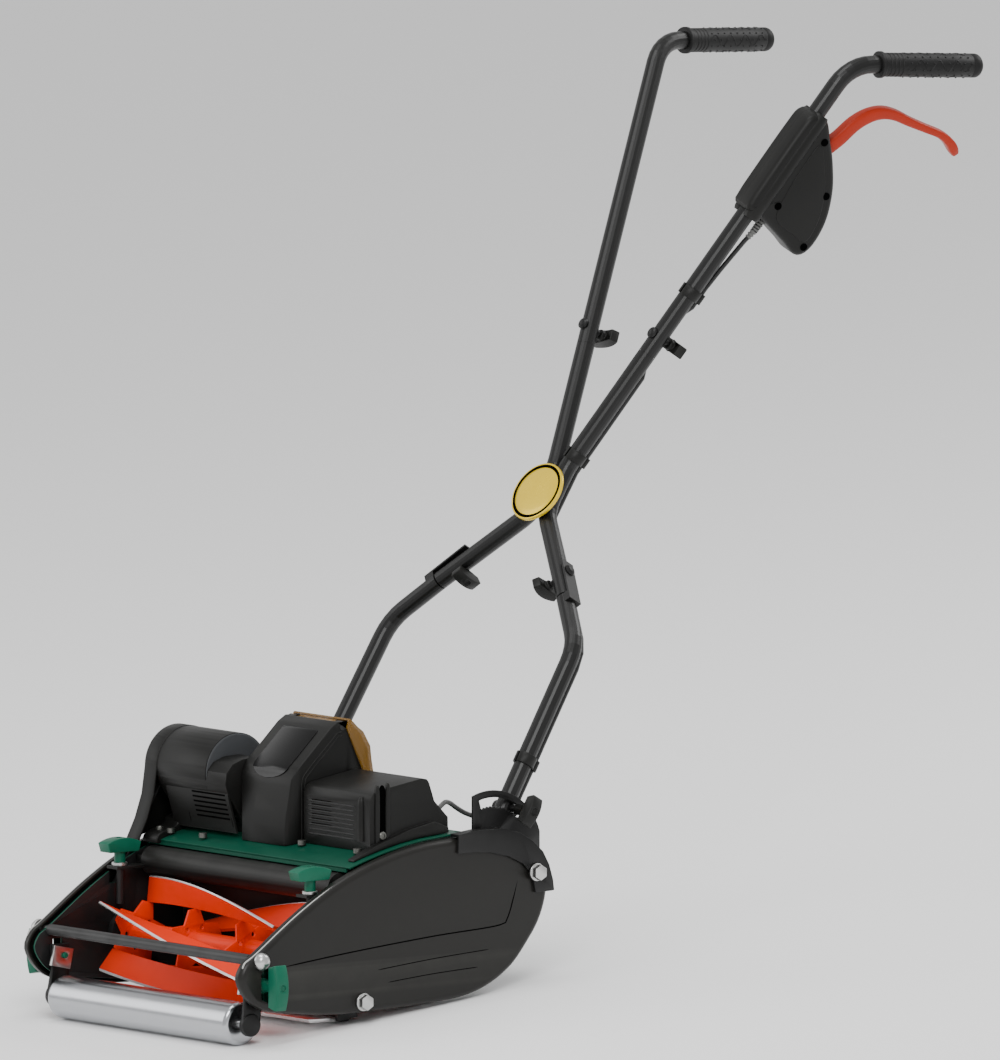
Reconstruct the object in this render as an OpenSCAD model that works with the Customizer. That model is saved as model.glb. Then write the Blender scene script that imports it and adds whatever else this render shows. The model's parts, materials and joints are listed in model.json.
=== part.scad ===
// Battery reel mower with a cable-switched handle.
// The part stands on its two rollers: +Z is up, -Y is the way it mows, +X is the operator's left.
// Most pieces are drawn in the chassis frame, whose origin is the middle of the front tie rod;
// chassis() tips that frame until both rollers touch the ground.

/* [Cutting unit] */
// Cutting width between the ends of the reel
cut_w = 300; // [280:5:330]
// Radius of the cutting reel
reel_r = 62.5; // [58:0.5:62.5]
// Number of blades on the reel
blade_count = 5; // [4:1:7]
// Turn of each blade from one end of the reel to the other, degrees
blade_twist = 70; // [40:5:90]
// Radius of the steel front roller
front_roller_r = 23.2; // [20:0.2:24]
// Radius of the rear roller
rear_roller_r = 64; // [60:0.5:65]

/* [Body] */
// Thickness of the steel side frames
frame_t = 3; // [2:0.5:3]
// Wall of the moulded housings and covers
shell_t = 2.5; // [2:0.5:3]
// How far the side covers bulge beyond the side frames
cover_h = 11; // [8:1:12]
// Half width of the battery tower
tower_hw = 46; // [42:1:48]

/* [Handle] */
// Diameter of the handle tubes
tube_d = 19.5; // [17:0.5:20]
// Wall of the handle tubes
tube_wall = 1.6; // [1.2:0.2:2]
// Diameter of the hand grips
grip_d = 26; // [24:1:30]

/* [Hidden] */
$fn = 48;

hw = cut_w / 2;
frame_x = hw + 23.5;                 // inner face of a side frame
sector_x = frame_x + frame_t + 0.3;  // inner face of a handle sector
sector_t = 3;
cover_x = sector_x + sector_t + 0.4; // inner rim of a side cover
cover_out = cover_x + cover_h;

// Axes in the chassis frame, as [Y, Z]
tie = [0, 0];
front_axis = [3, -70];
reel_axis = [97, -8];
rear_axis = [245, -1];
motor_axis = [178, 164];
knob_axis = [9, -27];
lid_axis = [224, 221];
pivot = [318, 90];

// The ground line touches both rollers
axle_gap = rear_axis - front_axis;
pitch = atan2(axle_gap.y, axle_gap.x) - asin((rear_roller_r - front_roller_r) / norm(axle_gap));
ground_z = rear_roller_r + rear_axis.x * sin(pitch) - rear_axis.y * cos(pitch);
ground_y = rear_axis.x * cos(pitch) + rear_axis.y * sin(pitch);

// Moves the chassis frame onto the ground, with the origin below the rear roller
module chassis() translate([0, -ground_y, ground_z]) rotate([-pitch, 0, 0]) children();
// Draws its children on the left, or mirrored on the right
module on_side(side) mirror([side < 0 ? 1 : 0, 0, 0]) children();
module both_sides() for (side = [-1, 1]) on_side(side) children();
// Extrudes a Y-Z outline along X
module along_x(x0, x1) translate([x0, 0, 0]) rotate([90, 0, 90]) linear_extrude(x1 - x0) children();
module rod_x(x0, x1, at, r) translate([x0, at.x, at.y]) rotate([0, 90, 0]) cylinder(h = x1 - x0, r = r);
// A box from its low corner to its high corner
module block(low, high) translate(low) cube(high - low);

function unit(v) = v / norm(v);
// Closed smooth curve through key points
function spline(p, steps = 4) = let (n = len(p)) [
    for (i = [0:n - 1], k = [0:steps - 1]) let (
        t = k / steps, a = p[(i + n - 1) % n], b = p[i], c = p[(i + 1) % n], d = p[(i + 2) % n]
    ) 0.5 * (2 * b + (c - a) * t + (2 * a - 5 * b + 4 * c - d) * t * t
        + (3 * b - a - 3 * c + d) * t * t * t)
];
// Outline of a strip of thickness t on the left of a line of points
function strip(p, t) = let (last = len(p) - 1) concat(p, [
    for (i = [last:-1:0]) let (
        d = unit(p[min(i + 1, last)] - p[max(i - 1, 0)])
    ) p[i] + t * [-d.y, d.x]
]);

// Stands a child's Z axis along v
module aim(v) rotate([0, acos(v.z / norm(v)), atan2(v.y, v.x)]) children();
module rod(a, b, r) translate(a) aim(b - a) cylinder(h = norm(b - a), r = r);
// Rings of a sweep; every ring is square to the path
function dir_at(p, i) = unit(p[min(i + 1, len(p) - 1)] - p[max(i - 1, 0)]);
function side_at(d) = unit(cross(d, abs(d.x) > 0.9 ? [0, 0, 1] : [1, 0, 0]));
module sweep(p, r, sides = 8) polyhedron(
    points = [for (i = [0:len(p) - 1]) let (d = dir_at(p, i), u = side_at(d), v = cross(d, u))
        for (k = [0:sides - 1]) let (a = k * 360 / sides) p[i] + r * (cos(a) * u + sin(a) * v)],
    faces = concat(
        [[for (k = [0:sides - 1]) k]],
        [[for (k = [sides - 1:-1:0]) (len(p) - 1) * sides + k]],
        [for (i = [0:len(p) - 2], k = [0:sides - 1]) let (n = (k + 1) % sides)
            [i * sides + k, (i + 1) * sides + k, (i + 1) * sides + n, i * sides + n]]
    )
);
// Points along p with every inner corner rounded to one radius
function rounded(p, bend_r, step = 12) = let (n = len(p) - 1) [
    for (i = [0:n]) each i == 0 || i == n ? [p[i]] : let (
        u = unit(p[i] - p[i - 1]), v = unit(p[i + 1] - p[i]), angle = acos(u * v),
        w = unit(v - u * (u * v)), start = p[i] - u * bend_r * tan(angle / 2), k = ceil(angle / step)
    ) [for (j = [0:k]) let (a = angle * j / k) start + bend_r * (sin(a) * u + (1 - cos(a)) * w)]
];
module bent_tube(p, bend_r, r, wall) difference() {
    n = len(p) - 1;
    sweep(rounded(p, bend_r), r, 20);
    sweep(rounded([for (i = [0:n]) i == 0 ? p[0] - unit(p[1] - p[0])
        : i == n ? p[n] + unit(p[n] - p[n - 1]) : p[i]], bend_r), r - wall, 20);
}

// ---- Side frames and covers ----
side_outline = spline([
    [-26, -20], [-19, -2], [-3, 9], [51, 46], [105, 76], [159, 96], [213, 108], [267, 112],
    [321, 113], [357, 101], [378, 80], [386, 52], [378, 21], [360, -6], [334, -33], [294, -53],
    [240, -61], [119, -65], [51, -60], [11, -54], [-12, -42]
]);
bolt_r = 8.5;
lower_bolt = [136, -53];
rear_bolt = [366, 69];
slot_l = 38;
slot_w = 17;
bearing_r = 14;
tube_notch_r = 26;
notch_w = 38;

module side_frames() color([0.02, 0.37, 0.25]) chassis() both_sides() difference() {
    along_x(frame_x, frame_x + frame_t) offset(delta = -5) polygon(side_outline);
    rod_x(frame_x - 1, frame_x + frame_t + 1, reel_axis, bearing_r + 0.05);
    rod_x(frame_x - 1, frame_x + frame_t + 1, rear_axis, 6.05);
    rod_x(frame_x - 1, frame_x + frame_t + 1, tie, 4.05);
    rod_x(frame_x - 1, frame_x + frame_t + 1, rear_bolt, 4.05);
    rod_x(frame_x - 1, frame_x + frame_t + 1, lower_bolt, 4.05);
    block([frame_x - 1, knob_axis.x - 6, knob_axis.y - 17],
        [frame_x + frame_t + 1, knob_axis.x + 6, knob_axis.y + 17]);
    block([frame_x - 1, pivot.x - notch_w / 2 - 4, pivot.y - tube_notch_r],
        [frame_x + frame_t + 1, pivot.x + notch_w + 12, pivot.y + tube_notch_r * 2]);
    translate([frame_x - 1, reel_axis.x - 18, 44]) cube([frame_t + 2, 14, 60]);
}

creases = [[[25, -8], [322, 15]], [[322, 15], [345, 66]], [[150, -20], [312, -8]], [[165, -34], [296, -26]]];
module cover_window() {
    hull() for (z = [-1, 1])
        rod_x(cover_x - 1, cover_out + 1, knob_axis + [0, z * (slot_l - slot_w) / 2], slot_w / 2);
}
module side_cover(side) color([0.17, 0.17, 0.16]) chassis() on_side(side) difference() {
    union() {
        along_x(cover_x, cover_x + 5) polygon(side_outline);
        hull() {
            along_x(cover_x + 4, cover_x + 5) polygon(side_outline);
            along_x(cover_out - 1, cover_out) offset(delta = -6) polygon(side_outline);
        }
    }
    along_x(cover_x - 1, cover_out - shell_t) offset(delta = -shell_t - 5) polygon(side_outline);
    cover_window();
    rod_x(cover_x - 1, cover_out + 1, tie, 4.05);
    rod_x(cover_x - 1, cover_out + 1, lower_bolt, 4.05);
    rod_x(cover_x - 1, cover_out + 1, [169, -55], 3);
    rod_x(cover_x - 1, cover_out + 1, rear_bolt, 4.05);
    // The belt enters the right cover from above
    if (side < 0) block([cover_x - 1, belt_y[0], 50], [belt_x + belt_w + 0.4, belt_y[1], 115]);
    // Creases pressed in the outer face
    for (crease = creases)
        hull() for (end = [crease[0], crease[1]]) rod_x(cover_out - 0.6, cover_out + 1, end, 0.8);
}
module side_cover_left() side_cover(1);
module side_cover_right() side_cover(-1);

module hex_bolt(x, at) {
    translate([x, at.x, at.y]) rotate([0, 90, 0]) {
        cylinder(h = 3, r = bolt_r + 1);
        translate([0, 0, 3]) cylinder(h = 6.5, r = bolt_r, $fn = 6);
    }
}
module cover_bolts() color([0.75, 0.75, 0.73]) chassis() both_sides() {
    translate([cover_out + 0.1, tie.x, tie.y]) rotate([0, 90, 0]) rotate_extrude()
        polygon([[0, 0], [bolt_r + 1, 0], [bolt_r + 1, 3], [bolt_r, 5], [7, 7.6], [4.4, 9.2], [0, 10]]);
    hex_bolt(cover_out + 0.1, lower_bolt);
    hex_bolt(cover_out + 3.5, rear_bolt);
    rod_x(frame_x - 4, cover_out + 0.2, lower_bolt, 4);
    rod_x(frame_x - 4, cover_out + 4, rear_bolt, 4);
    rod_x(frame_x - 9.9, cover_out + 0.2, tie, 4);
}

module tie_rod() color([0.1, 0.1, 0.1]) chassis() difference() {
    rod_x(-frame_x + 0.1, frame_x - 0.1, tie, 6);
    both_sides() rod_x(frame_x - 10, frame_x, tie, 4.05);
}

// ---- Deck, deflector and bottom blade ----
deck_hw = cover_x - 0.4;
deck_line = [[128, 87.5], [150, 94.5], [173, 100.5], [200, 106.5], [227, 110.5], [275, 114.5]];
rear_line = [[274, 112.5], [300, 111], [340, 103], [365, 86], [378, 62], [378, 40], [370, 18]];
seat_line = [for (p = concat([[100, 78]], deck_line)) p + [0, 2.6]];
adjust_y = 86;
belt_y = [96, 176]; // where the belt passes the deck
module deck() color([0.02, 0.37, 0.25]) chassis() difference() {
    union() {
        along_x(-deck_hw, deck_hw) polygon(strip(deck_line, 2));
        along_x(-hw, hw) polygon(strip(rear_line, 2));
        block([-frame_x + 0.4, 128, 83.4], [frame_x - 0.4, 130, 89]);
    }
    // Notch for the drive belt
    block([-deck_hw - 1, belt_y[0], 70], [-belt_x + 0.1, belt_y[1], 115]);
}

roll = [128, 66];
roll_r = 16;
module deflector() color([0.12, 0.12, 0.12]) chassis() difference() {
    deflector_body();
    both_sides() translate([hw + 15, adjust_y, 20]) cylinder(h = 50, r = 4.2);
}
module deflector_body() {
    // Posts that the blade adjusters stand on
    both_sides() {
        block([hw + 5, adjust_y - 11, 60], [frame_x - 0.2, 130, 63]);
        block([hw + 5, 114, 60], [frame_x - 0.2, 130, 72]);
    }
    rod_x(-hw - 12, hw + 12, roll, roll_r);
    along_x(-hw - 12, hw + 12)
        polygon(strip([[142, 62], [158, 48], [168, 20], [169, -10], [163, -40]], 2.5));
}

gap = 0.8; // running gap between reel and bottom blade
blade_z = reel_axis.y - 62.5 - gap;
module bottom_blade() color([0.85, 0.25, 0]) chassis()
    along_x(-hw - 8, hw + 8)
        polygon([[88, blade_z], [128, blade_z - 1], [128, blade_z - 5], [92, blade_z - 4]]);
module blade_carrier() color([0.08, 0.08, 0.08]) chassis() {
    along_x(-hw - 12, hw + 12)
        polygon([[128.1, blade_z], [146, blade_z + 14], [148, blade_z + 8], [140, blade_z - 5],
            [128.1, blade_z - 5]]);
    both_sides() along_x(hw + 12, frame_x - 4.2)
        polygon([[122, blade_z - 4], [122, lower_bolt.y + 9], [148, lower_bolt.y + 9], [146, blade_z]]);
}

// ---- Reel and its drive ----
shaft_r = 6.5;
module reel_bearings() color([0.7, 0.7, 0.7]) chassis() both_sides() difference() {
    union() {
        rod_x(frame_x - 7, frame_x + frame_t, reel_axis, bearing_r);
        rod_x(frame_x - 8, frame_x - 0.1, reel_axis, bearing_r + 6);
    }
    rod_x(frame_x - 9, frame_x + frame_t + 1, reel_axis, shaft_r + 0.05);
}
module reel_shaft() color([0.1, 0.1, 0.1]) chassis()
    rod_x(-belt_x - belt_w, frame_x + frame_t + 1.5, reel_axis, shaft_r);

blade_in = reel_r - 28;
spider_n = 4;
core_r = 11;
module reel_spiders() color([0.85, 0.25, 0]) chassis() {
    difference() {
        rod_x(-hw + 2, hw - 2, reel_axis, core_r);
        rod_x(-hw, hw, reel_axis, shaft_r);
    }
    for (i = [0:spider_n - 1]) spider(i);
}
module spider(i) {
    x = -hw + 2 + i * (cut_w - 7) / (spider_n - 1);
    turn = blade_twist * (x + hw) / cut_w;
    translate([x, reel_axis.x, reel_axis.y]) rotate([90, 0, 90]) linear_extrude(3) difference() {
        union() {
            circle(22);
            for (k = [0:blade_count - 1]) rotate(turn + k * 360 / blade_count)
                polygon([[12, -16], [blade_in - 0.2, -9], [blade_in - 0.2, 5], [12, 16]]);
        }
        circle(shaft_r);
        for (k = [0:blade_count - 1]) rotate(turn + (k + 0.5) * 360 / blade_count)
            translate([16.5, 0]) circle(2.5);
    }
}
module reel_blades() color([0.85, 0.25, 0]) chassis()
    translate([-hw, reel_axis.x, reel_axis.y]) rotate([90, 0, 90])
    linear_extrude(height = cut_w, twist = -blade_twist, slices = 20, $fn = 0)
    for (k = [0:blade_count - 1]) rotate(k * 360 / blade_count)
        polygon([[blade_in, -7], [reel_r - 2, -1.5], [reel_r, 0.8], [reel_r - 1.2, 1.8], [blade_in, -3.6]]);

belt_x = frame_x + frame_t + 0.7;
belt_w = 6;
reel_pulley_r = 30;
motor_pulley_r = 12;
belt_t = 2;
module reel_pulley() color([0.2, 0.2, 0.2]) chassis() difference() {
    union() {
        rod_x(-belt_x - belt_w + 0.5, -belt_x - 0.5, reel_axis, reel_pulley_r);
        rod_x(-belt_x - 0.5, -belt_x + 0.5, reel_axis, reel_pulley_r + 2);
    }
    rod_x(-belt_x - belt_w - 1, -belt_x + 1, reel_axis, shaft_r);
}
module motor_pulley() color([0.6, 0.6, 0.62]) chassis() {
    rod_x(-belt_x - belt_w + 0.5, -belt_x - 0.5, motor_axis, motor_pulley_r);
    rod_x(-belt_x - 0.6, -hw - 14, motor_axis, 4);
}
module belt_loop(extra, over = 0) hull() {
    x0 = -belt_x - belt_w + 0.4 - over;
    x1 = -belt_x - 0.6 + over;
    rod_x(x0, x1, reel_axis, reel_pulley_r + extra);
    rod_x(x0, x1, motor_axis, motor_pulley_r + extra);
}
module drive_belt() color([0.05, 0.05, 0.05]) chassis() difference() {
    belt_loop(0.4 + belt_t);
    belt_loop(0.4, 1);
}

// ---- Motor housing ----
drum_r = 42;
drum_in = tower_hw + 35;
drum_out = hw + 15;
module seat_cut() along_x(-cover_out, cover_out)
    polygon(concat(seat_line, [[330, 118], [330, 0], [60, 0], [60, 75]]));
module motor_housing() color([0.16, 0.16, 0.15]) chassis() difference() {
    union() {
        rod_x(-drum_out, -drum_in, motor_axis, drum_r);
        along_x(-drum_out, -tower_hw - 0.5) motor_base();
    }
    rod_x(-drum_out - 1, -drum_in - shell_t, motor_axis, drum_r - shell_t);
    along_x(-drum_out - 1, -tower_hw - 0.5 - shell_t) offset(delta = -shell_t) motor_base();
    seat_cut();
    for (i = [0:vent_n - 1]) translate([-vent_from - vent_l, 136 + i * 4, 140 - i * 5.4])
        cube([vent_l, 18, 2.4]);
}
vent_n = 6;
vent_l = 56;
vent_from = 56;
// The wall below the drum leans back to the deck
module motor_base() polygon([
    [139.5, 147], [136.5, 156], [138, 168], [146, 177], [160, 182], [180, 183], [202, 178],
    [216, 162], [217, 60], [196, 60], [172, 100]
]);
module motor() color([0.35, 0.35, 0.36]) chassis() difference() {
    union() {
        rod_x(-hw + 2, -drum_in - shell_t - 1, motor_axis, 34);
        rod_x(-hw - 10, -hw + 2.1, motor_axis, 16);
    }
    rod_x(-hw - 15, -hw - 2, motor_axis, 4.1);
    rod_x(-hw - 14.2, -hw - 9, motor_axis, 9);
    rod_x(-hw - 3, -hw + 0.5, motor_axis, 4.1);
    rod_x(-hw - 14.1, -hw + 0.3, motor_axis, 4.1);
}
drive_outline = [[135.7, 166], [131, 135], [122, 110], [110.5, 88], [110.5, 78], [190, 88], [216, 110],
    [220.3, 166]];
module drive_cover() color([0.15, 0.15, 0.14]) chassis() difference() {
    x1 = cover_x + 6;
    union() {
        rod_x(-x1, -drum_out - 0.2, motor_axis, drum_r + 0.5);
        along_x(-x1, -drum_out - 0.2) polygon(drive_outline);
    }
    rod_x(-x1 + shell_t, -drum_out, motor_axis, drum_r - shell_t);
    along_x(-x1 + shell_t, -drum_out) offset(delta = -shell_t) polygon(drive_outline);
    seat_cut();
}

// ---- Battery tower, pack and lid ----
bay_hw = 38;
tower_corner_r = 18;
module battery_tower() color([0.17, 0.17, 0.16]) chassis() difference() {
    intersection() {
        along_x(-tower_hw, tower_hw) polygon([
            [149, 60], [152, 130], [156, 168], [163, 180], [206, 220], [216, 226], [228, 226],
            [244, 210], [252, 196], [257, 170], [258, 60]
        ]);
        // Plan with round front corners
        translate([0, 148.9, 0]) linear_extrude(300) union() {
            both_sides() translate([tower_hw - tower_corner_r, tower_corner_r]) circle(tower_corner_r);
            translate([-tower_hw + tower_corner_r, 0]) square([2 * (tower_hw - tower_corner_r), 120]);
            translate([-tower_hw, tower_corner_r]) square([2 * tower_hw, 120]);
        }
    }
    block([-bay_hw, 190, 121], [bay_hw, 280, 198]);
    seat_cut();
    rod_x(-tower_hw - 1, tower_hw + 1, lid_axis, 4.7);
    rod_x(-tower_hw + 12, tower_hw - 12, lid_axis, 7.5);
    block([-tower_hw + 12, lid_axis.x, lid_axis.y - 7.5], [tower_hw - 12, lid_axis.x + 12, lid_axis.y + 8]);
}
module battery_pack() color([0.06, 0.2, 0.15]) chassis() difference() {
    block([-bay_hw + 0.6, 191, 121.3], [bay_hw - 0.6, 240, 197]);
    block([-16, 234, 160], [16, 241, 192]);
}
module battery_latch() color([0.7, 0.08, 0.06]) chassis()
    block([-15.5, 237, 160.5], [15.5, 243, 191.5]);
lid_line = [[229, 227], [234, 222.8], [246, 210.8], [254.5, 196.7], [259.5, 170], [260.6, 150],
    [261, 124]];
module battery_lid() color([0.55, 0.38, 0.1, 0.8]) chassis() difference() {
    union() {
        along_x(-tower_hw, tower_hw) polygon(strip(lid_line, 2.2));
        both_sides() along_x(tower_hw + 0.4, tower_hw + 2.4)
            polygon([
                [226, 219], [229, 228], [248, 214], [257.5, 198], [263, 150], [263, 123], [253, 123],
                [249, 170]
            ]);
        both_sides() along_x(tower_hw - 0.1, tower_hw + 2.4) polygon(strip(lid_line, 2.2));
        rod_x(-tower_hw + 13, tower_hw - 13, lid_axis, 4.4);
        along_x(-tower_hw + 13, tower_hw - 13)
            polygon([[224, 223], [226, 226.5], [234, 224.5], [236, 220.5], [226, 218]]);
    }
    rod_x(-tower_hw - 1, tower_hw + 1, lid_axis, 2.05);
}
module lid_pin() color([0.6, 0.6, 0.6]) chassis() {
    rod_x(-tower_hw + 1, tower_hw - 1, lid_axis, 2);
    both_sides() difference() {
        rod_x(tower_hw - 11.5, tower_hw - 1, lid_axis, 4.6);
        rod_x(tower_hw - 12, tower_hw - 6, lid_axis, 2);
    }
}

// ---- Control housing ----
control_in = 50;
control_out = hw + 15;
module control_profile() polygon([
    [166, 60], [166.5, 156], [170, 163], [176, 166], [236, 175.5], [243, 174], [246, 170],
    [253, 150], [271, 132], [273, 60]
]);
module control_housing() color([0.17, 0.17, 0.16]) chassis() difference() {
    union() {
        along_x(control_in, control_out) control_profile();
        // Fairing down to the edge of the deck
        along_x(control_out - 3, frame_x - 1) polygon([
            [138, 60], [139, 96], [170, 109], [215, 123], [248, 129], [266, 122], [270, 60]
        ]);
    }
    along_x(control_in + shell_t, control_out - shell_t) offset(delta = -shell_t) control_profile();
    seat_cut();
    for (i = [0:5]) translate([64, 160, 122 + i * 5]) cube([34, 8, 2.2]);
    translate([control_out - 8, 262, 138]) rotate([-45, 0, 0]) cylinder(h = 24, r = 3, center = true);
}
module control_board() color([0.1, 0.35, 0.15]) chassis() {
    block([control_in + 8, 180, 125], [control_out - 12, 245, 126.6]);
    block([70, 190, 126.6], [95, 215, 142]);
    block([110, 195, 126.6], [140, 225, 136]);
}
screw_spots = [[-hw + 4, 140, 95.8], [-90, 140, 95.8], [58, 158, 100.4], [hw + 4, 158, 100.4]];
module housing_screws() color([0.25, 0.25, 0.25]) chassis()
    for (p = screw_spots) translate(p) cylinder(h = 5, r = 4.5);

// ---- Front roller and height setting ----
roller_hw = hw + 5;
module front_roller() color([0.75, 0.75, 0.76]) chassis() difference() {
    union() {
        rod_x(-roller_hw + 5, roller_hw - 5, front_axis, front_roller_r);
        both_sides() translate([roller_hw - 5, front_axis.x, front_axis.y]) rotate([0, 90, 0])
            rotate_extrude() {
                square([front_roller_r - 5, 5]);
                translate([front_roller_r - 5, 0]) intersection() {
                    circle(5);
                    square(5);
                }
            }
    }
    rod_x(-roller_hw - 1, roller_hw + 1, front_axis, 5.05);
}
arm_x = frame_x - 8.5;
arm_t = 5;
module front_axle() color([0.5, 0.5, 0.5]) chassis() rod_x(-arm_x + 0.1, arm_x - 0.1, front_axis, 5);
module roller_arms() color([0.1, 0.1, 0.1]) chassis() both_sides() difference() {
    union() {
        rod_x(arm_x, arm_x + arm_t + 2, front_axis, 12);
        along_x(arm_x, arm_x + arm_t) polygon([
            [-8, -72], [14, -72], [19, -44], [19, -15], [-4, -15], [-4, -44]
        ]);
    }
    rod_x(arm_x - 1, arm_x + arm_t + 3, knob_axis, 3.2);
}
module nut_plates() color([0.7, 0.66, 0.62]) chassis() both_sides() difference() {
    translate([arm_x - 4.1, knob_axis.x - 2, knob_axis.y + 1]) rotate([-12, 0, 0])
        translate([0, -13, -14]) cube([4, 26, 22]);
    rod_x(arm_x - 5, arm_x + 1, knob_axis, 3.2);
}
wing_l = 24.5;
wing_rise = 5;
// Knob with two wings: hub along Z, wings along Y
module wing_knob(hub, wing_from, wing_to, half_l, half_w) {
    cylinder(h = hub, r = 6);
    difference() {
        translate([-half_w, 0, 0]) rotate([90, 0, 90]) linear_extrude(2 * half_w) polygon(concat(
            [for (i = [4:-1:-4]) [i * half_l / 4, wing_to - wing_rise * pow(i / 4, 2)]],
            [[-half_l + 3, wing_from], [half_l - 3, wing_from]]
        ));
        translate([0, 0, wing_to - 2]) cylinder(h = 3, r = 3.5);
    }
}
module height_knob(side) color([0.05, 0.5, 0.36]) chassis() on_side(side)
    translate([frame_x + frame_t + 0.3, knob_axis.x, knob_axis.y]) rotate([0, 90, 0]) rotate([0, 0, 90]) {
        wing_knob(27, 25.2, 42, wing_l, 7.4);
        translate([0, 0, -19]) cylinder(h = 19.1, r = 3);
        cylinder(h = 8, r = 8);
    }
module height_knob_left() height_knob(1);
module height_knob_right() height_knob(-1);

module adjuster(side) color([0.05, 0.5, 0.36]) chassis() on_side(side)
    translate([hw + 15, adjust_y, 0]) {
        translate([0, 0, 66]) wing_knob(18, 12, 27, 22.5, 9);
        translate([0, 0, 63.2]) cylinder(h = 2.9, r = 8);
        translate([0, 0, 22]) cylinder(h = 46, r = 3.5);
    }
module adjuster_left() adjuster(1);
module adjuster_right() adjuster(-1);

// ---- Rear roller ----
rear_hw = hw + 12;
module rear_roller() color([0.08, 0.08, 0.08]) chassis() difference() {
    union() {
        rod_x(-rear_hw, rear_hw, rear_axis, rear_roller_r - 1.5);
        for (i = [0:17]) rod_x(-rear_hw + 3 + i * (rear_hw - 6) / 9, -rear_hw + 11 + i * (rear_hw - 6) / 9,
            rear_axis, rear_roller_r);
    }
    both_sides() rod_x(8, rear_hw + 1, rear_axis, rear_roller_r - 6);
    rod_x(-rear_hw - 1, rear_hw + 1, rear_axis, 6.05);
}
module rear_axle() color([0.5, 0.5, 0.5]) chassis()
    rod_x(-frame_x - frame_t, frame_x + frame_t, rear_axis, 6);

// ---- Handle sectors: toothed plates and the bands over the covers ----
sector_r = 68;
slot_r = 56;
clamp_r = 4;
slot_lo = 41;
slot_hi = 106;
function polar(c, r, a) = c + r * [cos(a), sin(a)];
clamp_at = polar(pivot, slot_r, 55);
band_line = [for (p = [[262, 112.5], [290, 115.5], [321, 115], [344, 109], [360, 99.5], [373, 88], [381, 74],
    [386, 58], [387.5, 47]]) p + [0.5, 0.5]];
module handle_sectors() color([0.11, 0.11, 0.11]) chassis() both_sides() {
    // Toothed plate
    along_x(sector_x, sector_x + sector_t) difference() {
        union() {
            intersection() {
                translate(pivot) circle(sector_r, $fn = 96);
                translate([pivot.x - 25, pivot.y - 10]) square([90, 90]);
            }
            translate([pivot.x - 25, 40]) square([66, 45]);
        }
        translate(pivot) circle(5.05);
        polygon(concat(
            [for (a = [slot_lo:2.5:slot_hi]) polar(pivot, slot_r + clamp_r + 0.6, a)],
            [for (a = [slot_hi:-2.5:slot_lo])
                polar(pivot, slot_r - clamp_r - 0.6 - (round(a / 2.5) % 2 == 0 ? 0 : 2), a)]
        ));
    }
    // Band over the cover's rear top, and its outer cheek
    along_x(cover_x, cover_out + 3.4) polygon(strip(band_line, 3));
    along_x(cover_out + 0.4, cover_out + 3.4) difference() {
        polygon(concat(band_line, [
            [366, 47], [362, 66], [349, 79], [330, 88], [306, 94], [285, 96], [262, 96]
        ]));
        translate(rear_bolt) circle(4.05);
    }
    // Stand-off that ties the plate to the band
    block([sector_x, 303, 116.6], [cover_x + 1, 330, 118.2]);
}

// ---- Handle tubes, left side; the right side is its mirror image ----
tube_r = tube_d / 2;
foot_x = frame_x - 7.5;
foot = [foot_x, pivot.x, pivot.y];
elbow = [hw + 10, 446.5, 300.7];
joint_low = [85, 485.6, 365.7];
seam = [53, 627, 592];
crown = [hw + 13, 816, 899];
high_dir = unit(crown - seam);
waist_x = tube_r + 0.3;
waist_lo = [waist_x, 524, 426];
waist_hi = seam - high_dir * (seam.x - waist_x) / high_dir.x;
grip_end = [hw + 31, 979, 889];
foot_dir = unit(elbow - foot);
low_dir = unit(joint_low - elbow);
grip_dir = unit(grip_end - crown);
// Rearward normal of the plane that the upper handle lies in
plane_n = unit(cross([0, crown.y - waist_hi.y, crown.z - waist_hi.z], [1, 0, 0]));
joint_n = unit(cross(low_dir, plane_n));
lap = 34;
elbow_r = 52;
elbow_half = acos(foot_dir * low_dir) / 2;
// Length of the elbow's bend on either side, and how far the bend passes inside the corner
elbow_cut = elbow_r * tan(elbow_half);
elbow_in = elbow_r * (1 / cos(elbow_half) - 1) * unit(low_dir - foot_dir);

// Frame at p with local Z along z_dir and local X along x_dir
module frame_at(p, x_dir, z_dir) {
    y_dir = cross(z_dir, x_dir);
    multmatrix([[x_dir.x, y_dir.x, z_dir.x, p.x], [x_dir.y, y_dir.y, z_dir.y, p.y],
        [x_dir.z, y_dir.z, z_dir.z, p.z], [0, 0, 0, 1]]) children();
}
tongue_t = 2.2;
module lower_tube(side) color([0.06, 0.06, 0.06]) chassis() on_side(side) difference() {
    union() {
        bent_tube([foot - 9 * foot_dir, elbow, joint_low - low_dir * lap], elbow_r, tube_r, tube_wall);
        // Flattened end that laps the middle tube
        frame_at(joint_low, -joint_n, low_dir) {
            translate([tube_r + 0.2, -tube_r + 1, -lap - 12]) cube([tongue_t, tube_d - 2, lap + 26]);
            translate([0, -tube_r + 1, -lap - 12]) cube([tube_r + 1, tube_d - 2, 11.8]);
        }
    }
    rod_x(foot_x - 20, foot_x + 20, pivot, 5.05);
    rod_x(foot_x - 20, foot_x + 20, clamp_at, clamp_r + 0.05);
    rod_x(foot_x - 20, foot_x + 20, [374, 183], 2.5);
    frame_at(joint_low, low_dir, joint_n) cylinder(h = 80, r = 3.05, center = true);
}
module lower_tube_left() lower_tube(1);
module lower_tube_right() lower_tube(-1);

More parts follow.
